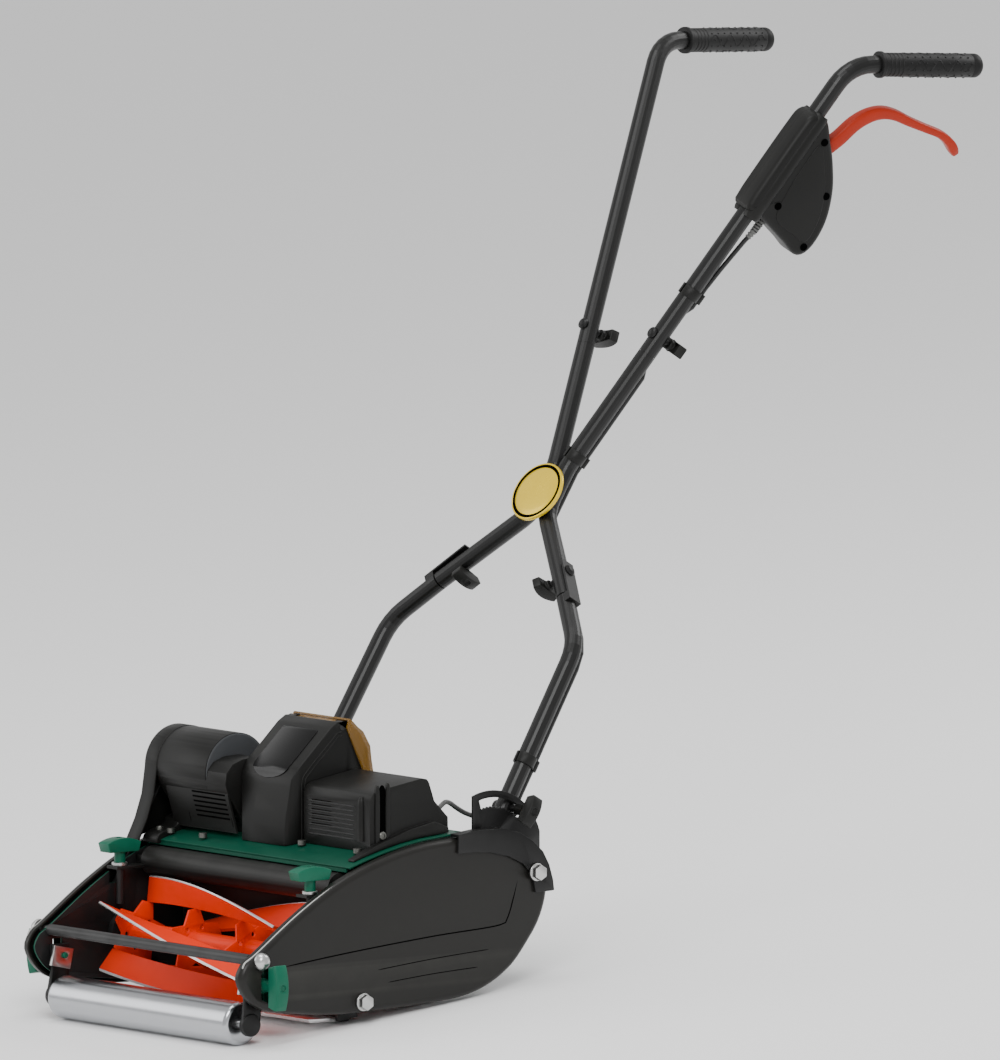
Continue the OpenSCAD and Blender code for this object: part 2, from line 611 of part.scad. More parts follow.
module middle_tubes() color([0.06, 0.06, 0.06]) chassis() both_sides() difference() {
    union() {
        bent_tube([joint_low - low_dir * (lap - 1.5), waist_lo, waist_hi, seam], 42, tube_r, tube_wall);
        // Swaged spigot that enters the upper tube
        rod(seam - high_dir * 20, seam + high_dir * 45, tube_r - tube_wall - 0.25);
        rod(seam - high_dir * 20, seam - high_dir * 2, tube_r - tube_wall / 2);
    }
    rod(seam - high_dir * 21, seam + high_dir * 46, tube_r - 2 * tube_wall);
    frame_at(joint_low, low_dir, joint_n) cylinder(h = 80, r = 3.05, center = true);
    frame_at(seam + high_dir * 22, high_dir, plane_n) cylinder(h = 80, r = 3.05, center = true);
}

module upper_tube(side) color([0.06, 0.06, 0.06]) chassis() on_side(side) difference() {
    bent_tube([seam + high_dir * 0.2, crown, grip_end - grip_dir * 4], 45, tube_r, tube_wall);
    frame_at(seam + high_dir * 22, high_dir, plane_n) cylinder(h = 80, r = 3.05, center = true);
}
module upper_tube_left() upper_tube(1);
module upper_tube_right() upper_tube(-1);

module dome_bolt(p, x_dir, axis, head_at, tail_at) frame_at(p, x_dir, axis) rotate_extrude()
    polygon([[0, head_at - 4], [4, head_at - 3.4], [6, head_at - 2], [6.5, head_at], [3, head_at],
        [3, tail_at], [0, tail_at]]);
module handle_bolts() color([0.12, 0.12, 0.12]) chassis() both_sides() {
    dome_bolt(joint_low, low_dir, joint_n, -tube_r - tongue_t - 0.6, tube_r + 4);
    dome_bolt(seam + high_dir * 22, high_dir, plane_n, -tube_r - 0.3, tube_r + 4);
    rod_x(foot_x - tube_r - 3, sector_x + sector_t + 0.2, pivot, 5);
    rod_x(foot_x - tube_r - 7, foot_x - tube_r - 0.6, pivot, 8);
    rod_x(foot_x - tube_r - 3, sector_x + sector_t + 2, clamp_at, clamp_r);
    rod_x(foot_x - tube_r - 8.5, foot_x - tube_r - 2, clamp_at, 7);
}

module clamp_knob(side) color([0.1, 0.1, 0.1]) chassis() on_side(side)
    translate([sector_x + sector_t + 2.4, clamp_at.x, clamp_at.y]) rotate([0, 90, 0]) rotate([0, 0, 60])
        wing_knob(24, 16, 31, 17, 7);
module clamp_knob_left() clamp_knob(1);
module clamp_knob_right() clamp_knob(-1);

module joint_knob(side) color([0.1, 0.1, 0.1]) chassis() on_side(side)
    frame_at(joint_low + joint_n * (tube_r + 4.3), low_dir, joint_n) wing_knob(6, 4, 17, 17, 6.5);
module joint_knob_left() joint_knob(1);
module joint_knob_right() joint_knob(-1);
module upper_knob(side) color([0.1, 0.1, 0.1]) chassis() on_side(side)
    frame_at(seam + high_dir * 22 + plane_n * (tube_r + 4.3), high_dir, plane_n)
        wing_knob(8, 5, 19, 17, 6.5);
module upper_knob_left() upper_knob(1);
module upper_knob_right() upper_knob(-1);

// Oval plate and its strap at the waist
badge_at = [0, 529, 435.5] - plane_n * (tube_r + 3);
badge_w = 75;
badge_h = 68;
badge_up = 5.4;
module badge() color([0.85, 0.68, 0.25]) chassis() frame_at(badge_at, [1, 0, 0], -plane_n) {
    translate([0, badge_up, -1.5]) resize([badge_w, badge_h, 4]) cylinder(h = 4, r = 30, $fn = 64);
    translate([-18, -9, -4]) cube([36, 18, 3]);
}

module grips() color([0.1, 0.1, 0.1]) chassis() both_sides() {
    start = crown + grip_dir * 34;
    l = norm(grip_end - start);
    translate(start) aim(grip_dir) difference() {
        union() {
            cylinder(h = l - grip_d / 3, r = grip_d / 2);
            cylinder(h = 5, r = grip_d / 2 + 1.5);
            translate([0, 0, l - grip_d / 3]) rotate_extrude() intersection() {
                scale([1, 2 / 3]) circle(grip_d / 2);
                square(grip_d / 2);
            }
        }
        translate([0, 0, -1]) cylinder(h = l - 2.9, r = tube_r + 0.05);
    }
}

// ---- Switch case: local X runs up the tube from the crown, Y to the rear, Z outwards ----
case_side = unit([1, 0, 0] - high_dir.x * high_dir);
module in_case() frame_at(crown, high_dir, case_side) mirror([0, 1, 0]) children();
case_outline = [
    [-70, -15], [-62, -5], [-64, 8], [-78, 24], [-96, 44], [-122, 66], [-153, 81], [-184, 84],
    [-200, 74], [-196, 50], [-190, 13], [-190, -12], [-180, -16], [-150, -17], [-90, -17]
];
case_in = -16;
case_out = 20;
lever_pivot = [-108, 28];
case_screws = [[-84, 17], [-130, 59], [-168, 15], [-188, 73]];
module case_half(z0, z1, floor_z) difference() {
    translate([0, 0, z0]) linear_extrude(z1 - z0) polygon(case_outline);
    translate([0, 0, floor_z < 0 ? floor_z + shell_t : z0 - 1])
        linear_extrude(floor_z < 0 ? z1 - floor_z : floor_z - shell_t - z0 + 1)
        offset(delta = -shell_t) polygon(case_outline);
    translate([-230, 0, 0]) rotate([0, 90, 0]) cylinder(h = 260, r = tube_r + 0.05);
    translate([-128, 16, -7]) cube([90, 90, 14]);
    translate([-192, 22, 0]) rotate([0, 90, 0]) cylinder(h = 20, r = 4, center = true);
    for (p = case_screws) translate([p.x, p.y, z0 - 1]) cylinder(h = z1 - z0 + 2, r = 1.6);
}
module switch_case_outer() color([0.13, 0.13, 0.13]) chassis() in_case() difference() {
    union() {
        case_half(0.1, case_out, case_out);
        translate([lever_pivot.x, lever_pivot.y, 7.2]) cylinder(h = case_out - 8, r = 7);
    }
    translate([lever_pivot.x, lever_pivot.y, 0]) cylinder(h = case_out - 3, r = 3.05);
}
module switch_case_inner() color([0.13, 0.13, 0.13]) chassis() in_case() difference() {
    union() {
        case_half(case_in, -0.1, case_in);
        translate([lever_pivot.x, lever_pivot.y, case_in + 1]) cylinder(h = -case_in - 8.2, r = 7);
    }
    translate([lever_pivot.x, lever_pivot.y, case_in + 3]) cylinder(h = 20, r = 3.05);
}
module lever_pin() color([0.6, 0.6, 0.6]) chassis() in_case() {
    translate([lever_pivot.x, lever_pivot.y, case_in + 3.2]) cylinder(h = case_out - case_in - 6.6, r = 3);
    for (p = case_screws) translate([p.x, p.y, case_in + 3]) cylinder(h = case_out - case_in - 5, r = 1.5);
}
lever_line = [
    [-108, 28], [-84, 37], [-54, 44], [-28, 53], [-16, 64], [-11, 84], [-10, 112], [-5, 146], [-12, 176]
];
module switch_lever() color([0.65, 0.2, 0.12]) chassis() in_case() difference() {
    union() {
        translate([0, 0, -6]) linear_extrude(12) offset(r = 1.5) offset(delta = -1.5)
            polygon(concat(
                [for (p = lever_line) p + [3.5, -3.5]],
                [for (i = [len(lever_line) - 1:-1:0]) lever_line[i] + (i < 4 ? [-7, 8] : [-5, 3.5])]
            ));
        translate([lever_pivot.x, lever_pivot.y, -6]) cylinder(h = 12, r = 8);
        translate([-11, 177, -6]) cylinder(h = 12, r = 7);
    }
    translate([lever_pivot.x, lever_pivot.y, -7]) cylinder(h = 14, r = 3.06);
}
module microswitch() color([0.08, 0.08, 0.09]) chassis() in_case() {
    translate([-168, 36, -6]) cube([28, 16, 11]);
    translate([-139.9, 40, -2]) cube([5, 3, 4]);
}

// ---- Switch cable, from the case down the left tube and into the control housing ----
cable_r = 2.6;
gland = crown - high_dir * 203 + [0, 0.852, -0.524] * 22;
function behind(p, off) = p + plane_n * off;
// Inner side of an upper tube, where the cable passes a knob
inner_side = cross(high_dir, plane_n);
function past(p, a) = p + 13.2 * (cos(a) * plane_n + sin(a) * inner_side);
cable_path = [
    crown - high_dir * 186 + [0, 0.852, -0.524] * 22, gland, gland - high_dir * 16 + [0, -3, 1],
    behind(seam + high_dir * 118, 15), behind(seam + high_dir * 92, 13.2),
    behind(seam + high_dir * 68, 13.2),
    past(seam + high_dir * 55, 30), past(seam + high_dir * 45, 60), past(seam + high_dir * 34, 80),
    past(seam + high_dir * 10, 80), past(seam - high_dir * 1, 60), past(seam - high_dir * 11, 30),
    behind(seam - high_dir * 24, 13.2), behind(seam * 0.6 + waist_hi * 0.4, 13.2),
    behind(waist_hi, 13.5), behind(waist_lo, 13.5), behind(waist_lo * 0.6 + joint_low * 0.4, 13.4),
    behind(joint_low, 13.6), behind(joint_low - low_dir * 40, 13.6),
    behind(elbow + low_dir * elbow_cut, 13.4), behind(elbow + elbow_in, 13.4),
    behind(elbow - foot_dir * elbow_cut, 13.4), behind(foot * 0.6 + elbow * 0.4, 13.4),
    foot * 0.72 + elbow * 0.28 + [-1, 12, -7]
];
loop_path = [
    foot * 0.722 + elbow * 0.278 + [-1, 12, -7], foot * 0.75 + elbow * 0.25 + [-1, 12, -7],
    [158, 370, 132], [148, 368, 125], [141, 352, 122], [140, 330, 124], [142, 306, 134], [148, 290, 146],
    [155, 280, 150], [control_out - 8, 272, 148], [control_out - 8, 266, 142],
    [control_out - 8, 260, 136]
];
module handle_cable() color([0.09, 0.09, 0.09]) chassis() {
    sweep(cable_path, cable_r);
    rod(gland - high_dir * 2, gland + high_dir * 12, 3.9);
}
module cable_loop() color([0.4, 0.4, 0.4]) chassis() sweep(loop_path, cable_r);

clip_l = 12;
module clip_at(p, along) frame_at(p, unit(cross(plane_n, along)), along) difference() {
    union() {
        cylinder(h = clip_l, r = tube_r + 2, center = true);
        translate([0, 13.3, 0]) cylinder(h = clip_l, r = 5, center = true);
    }
    cylinder(h = clip_l + 1, r = tube_r + 0.02, center = true);
    translate([0, 13.3, 0]) cylinder(h = clip_l + 1, r = cable_r + 0.5, center = true);
    translate([-1.5, -20, -10]) cube([3, 14, 20]);
}
module cable_clips() color([0.07, 0.07, 0.07]) chassis() {
    clip_at(seam + high_dir * 80, high_dir);
    clip_at(waist_hi + high_dir * 14, high_dir);
    clip_at(foot * 0.55 + elbow * 0.45, foot_dir);
}

side_frames();
side_cover_left();
side_cover_right();
cover_bolts();
tie_rod();
deck();
deflector();
bottom_blade();
blade_carrier();
motor_housing();
drive_cover();
motor();
motor_pulley();
drive_belt();
battery_tower();
battery_pack();
battery_latch();
battery_lid();
lid_pin();
control_housing();
control_board();
housing_screws();
reel_bearings();
reel_shaft();
reel_spiders();
reel_blades();
reel_pulley();
front_roller();
front_axle();
roller_arms();
nut_plates();
height_knob_left();
height_knob_right();
adjuster_left();
adjuster_right();
rear_roller();
rear_axle();
handle_sectors();
lower_tube_left();
lower_tube_right();
middle_tubes();
upper_tube_left();
upper_tube_right();
handle_bolts();
clamp_knob_left();
clamp_knob_right();
joint_knob_left();
joint_knob_right();
upper_knob_left();
upper_knob_right();
badge();
grips();
switch_case_outer();
switch_case_inner();
switch_lever();
lever_pin();
microswitch();
handle_cable();
cable_loop();
cable_clips();
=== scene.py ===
"""Looks of the reel mower: refined copies of the CAD pieces, hand-built covers, grips and lever,
and procedural materials."""
import json
import math

import bmesh
import bpy
from mathutils import Matrix, Vector
from mathutils.geometry import tessellate_polygon


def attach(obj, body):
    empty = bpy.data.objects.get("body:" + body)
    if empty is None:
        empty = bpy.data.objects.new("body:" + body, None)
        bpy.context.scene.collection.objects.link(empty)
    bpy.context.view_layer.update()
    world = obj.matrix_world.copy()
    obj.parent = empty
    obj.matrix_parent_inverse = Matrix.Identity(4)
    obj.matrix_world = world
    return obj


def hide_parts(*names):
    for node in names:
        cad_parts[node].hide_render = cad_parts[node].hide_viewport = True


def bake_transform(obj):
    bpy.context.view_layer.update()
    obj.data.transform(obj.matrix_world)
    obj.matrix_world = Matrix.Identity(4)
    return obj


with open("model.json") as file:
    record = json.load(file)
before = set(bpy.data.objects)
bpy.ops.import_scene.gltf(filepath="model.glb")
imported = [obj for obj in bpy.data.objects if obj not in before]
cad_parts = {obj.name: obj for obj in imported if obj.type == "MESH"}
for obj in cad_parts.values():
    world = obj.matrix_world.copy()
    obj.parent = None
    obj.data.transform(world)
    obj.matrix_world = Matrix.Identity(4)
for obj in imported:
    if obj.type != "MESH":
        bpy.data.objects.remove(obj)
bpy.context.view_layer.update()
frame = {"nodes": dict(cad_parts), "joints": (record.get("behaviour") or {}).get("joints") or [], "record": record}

MM = 0.001
record = frame["record"]
joints = {j["name"]: j for j in frame["joints"]}
mounts = {m["name"]: m for m in record["mounts"]}

# The chassis frame: X across, Y to the rear along the side frames, Z at right angles to them
X_AXIS = Vector((1, 0, 0))
UP = Vector(joints["height_adjust"]["axis"]).normalized()
REAR = UP.cross(X_AXIS)
ORIGIN = Vector(mounts["front_bar"]["pos_m"])


def at(x, y, z):
    """A point of the chassis frame, given in millimetres."""
    return ORIGIN + (X_AXIS * x + REAR * y + UP * z) * MM


def along(x, y, z):
    """A direction of the chassis frame."""
    return (X_AXIS * x + REAR * y + UP * z).normalized()


# ---------------------------------------------------------------- camera, floor and lights
VIEW_CENTRE = (0, 469.8, 409.6)   # chassis point at the middle of the picture
VIEW_HEIGHT = 1.1277              # metres that the picture spans from top to bottom
PICTURE_RIGHT = (0.616, 0.788, 0)
PICTURE_UP = (-0.0865, 0.0676, 0.994)
LENS = 1500                       # so long that the view is nearly parallel
SENSOR = 36
FLOOR_HALF = 6
LIGHT_TARGET = (0, 0.1, 0.3)
LIGHTS = {                        # place, size and power
    "key": ((2.2, -1.6, 2.4), 1.4, 60),
    "fill": ((-2.4, -2.2, 1.6), 2.0, 30),
    "back": ((0.4, 2.8, 2.2), 1.6, 35),
    "top": ((0.1, -0.1, 3.2), 1.4, 32),
}


def make_camera():
    data = bpy.data.cameras.new("camera")
    data.lens = LENS
    data.sensor_width = SENSOR
    data.clip_end = 500
    cam = bpy.data.objects.new("camera", data)
    right, up = along(*PICTURE_RIGHT), along(*PICTURE_UP)
    back = right.cross(up).normalized()
    up = back.cross(right).normalized()
    where = at(*VIEW_CENTRE) + back * (VIEW_HEIGHT * LENS / SENSOR)
    cam.matrix_world = Matrix.Translation(where) @ Matrix((right, up, back)).transposed().to_4x4()
    bpy.context.scene.collection.objects.link(cam)
    bpy.context.scene.camera = cam


def make_stage():
    verts = [(x * FLOOR_HALF, y * FLOOR_HALF, 0) for x, y in ((-1, -1), (1, -1), (1, 1), (-1, 1))]
    mesh = bpy.data.meshes.new("floor")
    mesh.from_pydata(verts, [], [(0, 1, 2, 3)])
    floor = bpy.data.objects.new("floor", mesh)
    bpy.context.scene.collection.objects.link(floor)
    material = bpy.data.materials.new("floor")
    material.use_nodes = True
    shader = material.node_tree.nodes["Principled BSDF"]
    shader.inputs["Base Color"].default_value = (0.95, 0.95, 0.95, 1)
    shader.inputs["Roughness"].default_value = 0.9
    mesh.materials.append(material)
    world = bpy.data.worlds.new("studio")
    world.use_nodes = True
    sky = world.node_tree.nodes["Background"]
    sky.inputs["Color"].default_value = (1, 1, 1, 1)
    sky.inputs["Strength"].default_value = 0.8
    bpy.context.scene.world = world


def make_light(name, where, size, power):
    data = bpy.data.lights.new(name, "AREA")
    data.size = size
    data.energy = power
    lamp = bpy.data.objects.new(name, data)
    lamp.location = where
    lamp.rotation_euler = (Vector(LIGHT_TARGET) - Vector(where)).to_track_quat("-Z", "Y").to_euler()
    bpy.context.scene.collection.objects.link(lamp)


def make_lights():
    for name, light in LIGHTS.items():
        make_light(name, *light)


# ---------------------------------------------------------------- materials
def link(tree, a, b):
    tree.links.new(a, b)


def surface(name, base, rough, metallic=0.0, grain=(1800, 0.03), mottle=0.12, wear=None, coat=0.0,
            rough_spread=0.06, streak=None, alpha=None, specular=0.5):
    """Principled material with colour mottle, roughness breakup, a fine bump and optional worn edges."""
    material = bpy.data.materials.new(name)
    material.use_nodes = True
    tree = material.node_tree
    shader = tree.nodes["Principled BSDF"]
    shader.inputs["Metallic"].default_value = metallic
    shader.inputs["Coat Weight"].default_value = coat
    shader.inputs["Coat Roughness"].default_value = 0.15
    shader.inputs["Specular IOR Level"].default_value = specular
    if alpha is not None:
        shader.inputs["Alpha"].default_value = alpha
    coords = tree.nodes.new("ShaderNodeTexCoord")
    cloud = tree.nodes.new("ShaderNodeTexNoise")
    cloud.inputs["Scale"].default_value = 45
    cloud.inputs["Detail"].default_value = 5
    link(tree, coords.outputs["Object"], cloud.inputs["Vector"])
    tint = tree.nodes.new("ShaderNodeMix")
    tint.data_type = "RGBA"
    dark = [c * (1 - mottle) for c in base]
    light = [min(1, c * (1 + mottle)) for c in base]
    tint.inputs[6].default_value = (*dark, 1)
    tint.inputs[7].default_value = (*light, 1)
    link(tree, cloud.outputs["Fac"], tint.inputs[0])
    colour = tint.outputs[2]
    if wear:
        edge = tree.nodes.new("ShaderNodeNewGeometry")
        sharp = tree.nodes.new("ShaderNodeMapRange")
        sharp.inputs["From Min"].default_value = 0.53
        sharp.inputs["From Max"].default_value = 0.62
        link(tree, edge.outputs["Pointiness"], sharp.inputs["Value"])
        patch = tree.nodes.new("ShaderNodeMath")
        patch.operation = "MULTIPLY"
        link(tree, sharp.outputs["Result"], patch.inputs[0])
        link(tree, cloud.outputs["Fac"], patch.inputs[1])
        worn = tree.nodes.new("ShaderNodeMix")
        worn.data_type = "RGBA"
        worn.inputs[7].default_value = (*wear, 1)
        link(tree, patch.outputs[0], worn.inputs[0])
        link(tree, colour, worn.inputs[6])
        colour = worn.outputs[2]
    link(tree, colour, shader.inputs["Base Color"])
    spread = tree.nodes.new("ShaderNodeMapRange")
    spread.inputs["To Min"].default_value = max(0.02, rough - rough_spread)
    spread.inputs["To Max"].default_value = min(1, rough + rough_spread)
    link(tree, cloud.outputs["Fac"], spread.inputs["Value"])
    link(tree, spread.outputs["Result"], shader.inputs["Roughness"])
    fine = tree.nodes.new("ShaderNodeTexNoise")
    fine.inputs["Scale"].default_value = grain[0]
    fine.inputs["Detail"].default_value = 3
    place = tree.nodes.new("ShaderNodeMapping")
    place.inputs["Scale"].default_value = streak or (1, 1, 1)
    link(tree, coords.outputs["Object"], place.inputs["Vector"])
    link(tree, place.outputs["Vector"], fine.inputs["Vector"])
    bump = tree.nodes.new("ShaderNodeBump")
    bump.inputs["Strength"].default_value = grain[1]
    bump.inputs["Distance"].default_value = 0.0004
    link(tree, fine.outputs["Fac"], bump.inputs["Height"])
    link(tree, bump.outputs["Normal"], shader.inputs["Normal"])
    return material


GROUND_STEEL = (0.92, 0.92, 0.92)
GROUND_RADIUS = 0.0608   # the reel's blades are ground beyond this
MASK_SOFT = 0.0002
FRAME_BLACK = (0.012, 0.012, 0.012)
FRAME_INSIDE = 0.1737    # the side frames are green beyond this distance from the middle


def radius_mask(tree, centre, limit):
    """1 beyond a radius from a line along X through centre, and 0 inside it."""
    coords = tree.nodes.new("ShaderNodeTexCoord")
    shift = tree.nodes.new("ShaderNodeVectorMath")
    shift.operation = "SUBTRACT"
    shift.inputs[1].default_value = centre
    link(tree, coords.outputs["Object"], shift.inputs[0])
    flat = tree.nodes.new("ShaderNodeVectorMath")
    flat.operation = "MULTIPLY"
    flat.inputs[1].default_value = (0, 1, 1)
    link(tree, shift.outputs["Vector"], flat.inputs[0])
    length = tree.nodes.new("ShaderNodeVectorMath")
    length.operation = "LENGTH"
    link(tree, flat.outputs["Vector"], length.inputs[0])
    ramp = tree.nodes.new("ShaderNodeMapRange")
    ramp.inputs["From Min"].default_value = limit - MASK_SOFT
    ramp.inputs["From Max"].default_value = limit + MASK_SOFT
    link(tree, length.outputs["Value"], ramp.inputs["Value"])
    return ramp.outputs["Result"]


def ground_edge(material, centre, limit):
    """Bright ground steel on the outer edge of a painted blade."""
    tree = material.node_tree
    shader = tree.nodes["Principled BSDF"]
    mask = radius_mask(tree, centre, limit)
    painted = shader.inputs["Base Color"].links[0].from_socket
    mixed = tree.nodes.new("ShaderNodeMix")
    mixed.data_type = "RGBA"
    mixed.inputs[7].default_value = (*GROUND_STEEL, 1)
    link(tree, mask, mixed.inputs[0])
    link(tree, painted, mixed.inputs[6])
    link(tree, mixed.outputs[2], shader.inputs["Base Color"])
    link(tree, mask, shader.inputs["Metallic"])
    return material


def inner_black(material, limit):
    """Black paint on everything nearer the middle of the machine than limit."""
    tree = material.node_tree
    shader = tree.nodes["Principled BSDF"]
    coords = tree.nodes.new("ShaderNodeTexCoord")
    split = tree.nodes.new("ShaderNodeSeparateXYZ")
    link(tree, coords.outputs["Object"], split.inputs[0])
    size = tree.nodes.new("ShaderNodeMath")
    size.operation = "ABSOLUTE"
    link(tree, split.outputs["X"], size.inputs[0])
    inside = tree.nodes.new("ShaderNodeMath")
    inside.operation = "LESS_THAN"
    inside.inputs[1].default_value = limit
    link(tree, size.outputs[0], inside.inputs[0])
    mixed = tree.nodes.new("ShaderNodeMix")
    mixed.data_type = "RGBA"
    mixed.inputs[7].default_value = (*FRAME_BLACK, 1)
    link(tree, inside.outputs[0], mixed.inputs[0])
    link(tree, shader.inputs["Base Color"].links[0].from_socket, mixed.inputs[6])
    link(tree, mixed.outputs[2], shader.inputs["Base Color"])
    return material


FINISHES = {
    "green_paint": dict(base=(0.0, 0.052, 0.029), rough=0.38, grain=(900, 0.02),
                        wear=(0.01, 0.09, 0.055), specular=0.16),
    "frame_paint": dict(base=(0.0, 0.055, 0.031), rough=0.36, grain=(900, 0.02), coat=0.1,
                        specular=0.3),
    "green_plastic": dict(base=(0.0, 0.092, 0.050), rough=0.38, grain=(1500, 0.04),
                          wear=(0.02, 0.18, 0.11), specular=0.22),
    "black_plastic": dict(base=(0.0065, 0.0065, 0.006), rough=0.44, grain=(1600, 0.06),
                          wear=(0.03, 0.03, 0.028), specular=0.2),
    "cover_plastic": dict(base=(0.0115, 0.011, 0.0098), rough=0.34, grain=(1400, 0.02),
                          wear=(0.035, 0.035, 0.03), specular=0.25),
    "black_steel": dict(base=(0.006, 0.006, 0.006), rough=0.36, grain=(1100, 0.04),
                        wear=(0.05, 0.05, 0.05), specular=0.22),
    "tube_black": dict(base=(0.005, 0.005, 0.0048), rough=0.36, grain=(1000, 0.008),
                       rough_spread=0.02, specular=0.34),
    "blade_orange": dict(base=(0.78, 0.030, 0.0005), rough=0.42, grain=(700, 0.03), mottle=0.06,
                         wear=(0.35, 0.015, 0.002), specular=0.2),
    "roller_steel": dict(base=(0.46, 0.47, 0.49), rough=0.24, metallic=1, grain=(500, 0.03),
                         streak=(0.05, 1, 1), mottle=0.05),
    "zinc": dict(base=(0.55, 0.55, 0.54), rough=0.3, metallic=1, grain=(900, 0.06), mottle=0.08),
    "grip_rubber": dict(base=(0.007, 0.007, 0.007), rough=0.5, grain=(1300, 0.1), specular=0.25),
    "roller_rubber": dict(base=(0.011, 0.011, 0.011), rough=0.6, grain=(900, 0.15), specular=0.35),
    "lever_red": dict(base=(0.36, 0.018, 0.002), rough=0.36, grain=(1400, 0.03),
                      wear=(0.42, 0.03, 0.006), specular=0.25),
    "latch_red": dict(base=(0.45, 0.012, 0.012), rough=0.4, grain=(1400, 0.06)),
    "pack_green": dict(base=(0.006, 0.035, 0.025), rough=0.45, grain=(1400, 0.1)),
    "lid_amber": dict(base=(0.19, 0.092, 0.008), rough=0.22, grain=(600, 0.02), alpha=0.8,
                      specular=0.4),
    "badge_gold": dict(base=(0.76, 0.53, 0.022), rough=0.26, metallic=0.3, grain=(500, 0.02),
                       mottle=0.05),
    "panel_gloss": dict(base=(0.002, 0.002, 0.002), rough=0.22, grain=(400, 0.004), specular=0.25),
    # near-black matte: the badge's real black ring, and painted shade in the covers' creases, the motor louvre
    # slots, the control housing's channel and the switch case's screw recesses
    "black_and_painted_shade": dict(base=(0.0006, 0.0006, 0.0006), rough=0.9, grain=(400, 0.01), specular=0.02),
    # painted highlight: light grey gloss of the bead that stands for the bright rounded edge of the side covers
    "painted_highlight_grey": dict(base=(0.42, 0.42, 0.40), rough=0.25, grain=(400, 0.004), specular=0.6),
    "dull_zinc": dict(base=(0.13, 0.13, 0.12), rough=0.42, metallic=0.9, grain=(900, 0.05),
                      mottle=0.1),
    "sleeve_grey": dict(base=(0.14, 0.14, 0.135), rough=0.45, grain=(900, 0.05), specular=0.3),
    "board_green": dict(base=(0.02, 0.16, 0.06), rough=0.4),
    "motor_grey": dict(base=(0.3, 0.3, 0.31), rough=0.4, metallic=0.9, grain=(800, 0.1)),
    "drum_grey": dict(base=(0.05, 0.053, 0.057), rough=0.4, grain=(1200, 0.04), specular=0.3),
    "cable_black": dict(base=(0.012, 0.012, 0.012), rough=0.42, grain=(1500, 0.08), specular=0.4),
    # lighter grey copy of the cable's black: painted sheen of the cable loop
    "cable_painted_sheen": dict(base=(0.07, 0.07, 0.068), rough=0.4, grain=(1500, 0.06), specular=0.5),
    "belt_black": dict(base=(0.01, 0.01, 0.01), rough=0.7, grain=(900, 0.3)),
}


def make_materials():
    made = {name: surface(name, **finish) for name, finish in FINISHES.items()}
    inner_black(made["frame_paint"], FRAME_INSIDE)
    return made


# ---------------------------------------------------------------- mesh helpers
BODY_OF = {n: body for body, members in record["behaviour"]["bodies"].items() for n in members}
SLOT_OF = {s["node"]: s["material_slot"] for s in record["subparts"]}
FLAT_ANGLE = 0.6      # degrees; faces nearer to one plane than this are merged
WELD = 2e-6           # metres
BEVEL_SEGMENTS = 2
BEVEL_ANGLE = 32      # degrees


def smooth_shade(obj, angle):
    """Smooth faces, with sharp edges where the faces meet at more than angle (radians)."""
    bm = bmesh.new()
    bm.from_mesh(obj.data)
    for face in bm.faces:
        face.smooth = True
    for edge in bm.edges:
        edge.smooth = len(edge.link_faces) == 2 and edge.calc_face_angle(0) < angle
    bm.to_mesh(obj.data)
    bm.free()


def add_piece(name, mesh, node, material, slot=None, replace=True, ride=True, smooth=None):
    """Links a mesh as a piece that rides on a node's body; smooth is its shading angle in degrees."""
    obj = bpy.data.objects.new(name, mesh)
    bpy.context.scene.collection.objects.link(obj)
    mesh.materials.clear()
    mesh.materials.append(material)
    if ride:
        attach(obj, BODY_OF[node])
    if replace:
        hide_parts(node)
    slot or SLOT_OF[node]
    if smooth is not None:
        smooth_shade(obj, math.radians(smooth))
    return obj


def add_detail(name, mesh, node, material, smooth, slot=None):
    """A piece beside the node's own mesh, which stays."""
    add_piece(name, mesh, node, material, slot=slot, replace=False, smooth=smooth)


def clean_copy(node):
    """Mesh of a CAD node with its flat faces merged, ready for a bevel."""
    mesh = frame["nodes"][node].data.copy()
    bm = bmesh.new()
    bm.from_mesh(mesh)
    bmesh.ops.remove_doubles(bm, verts=bm.verts, dist=WELD)
    bmesh.ops.dissolve_limit(bm, angle_limit=math.radians(FLAT_ANGLE), verts=bm.verts, edges=bm.edges)
    bm.to_mesh(mesh)
    bm.free()
    return mesh


def bevel(obj, width):
    cut = obj.modifiers.new("rounded_edges", "BEVEL")
    cut.width = width * MM
    cut.segments = BEVEL_SEGMENTS
    cut.limit_method = "ANGLE"
    cut.angle_limit = math.radians(BEVEL_ANGLE)
    cut.use_clamp_overlap = False
    cut.miter_outer = "MITER_ARC"
    cut.harden_normals = True


def refine(node, material, width):
    """A CAD piece with its edges rounded."""
    obj = add_piece(node + "_fine", clean_copy(node), node, material)
    for face in obj.data.polygons:
        face.use_smooth = True
    bevel(obj, width)


# Edge rounding of each refined node, in millimetres; the rest keep their CAD mesh
ROUNDED = {
    "side_frames": 0.4, "cover_bolts": 0.6, "deck": 0.5, "bottom_blade": 0.4, "blade_carrier": 0.8,
    "motor_housing": 0.15, "drive_cover": 0.8, "battery_tower": 0.9, "battery_lid": 0.2,
    "control_housing": 0.7, "roller_arms": 0.8, "nut_plates": 0.6,
    "height_knob_left": 1.0, "height_knob_right": 1.0, "adjuster_left": 1.0, "adjuster_right": 1.0,
    "handle_sectors": 0.4, "clamp_knob_left": 1.2, "clamp_knob_right": 1.2, "joint_knob_left": 1.2,
    "joint_knob_right": 1.2, "upper_knob_left": 1.2, "upper_knob_right": 1.2,
    "cable_clips": 0.5, "reel_spiders": 0.4,
}


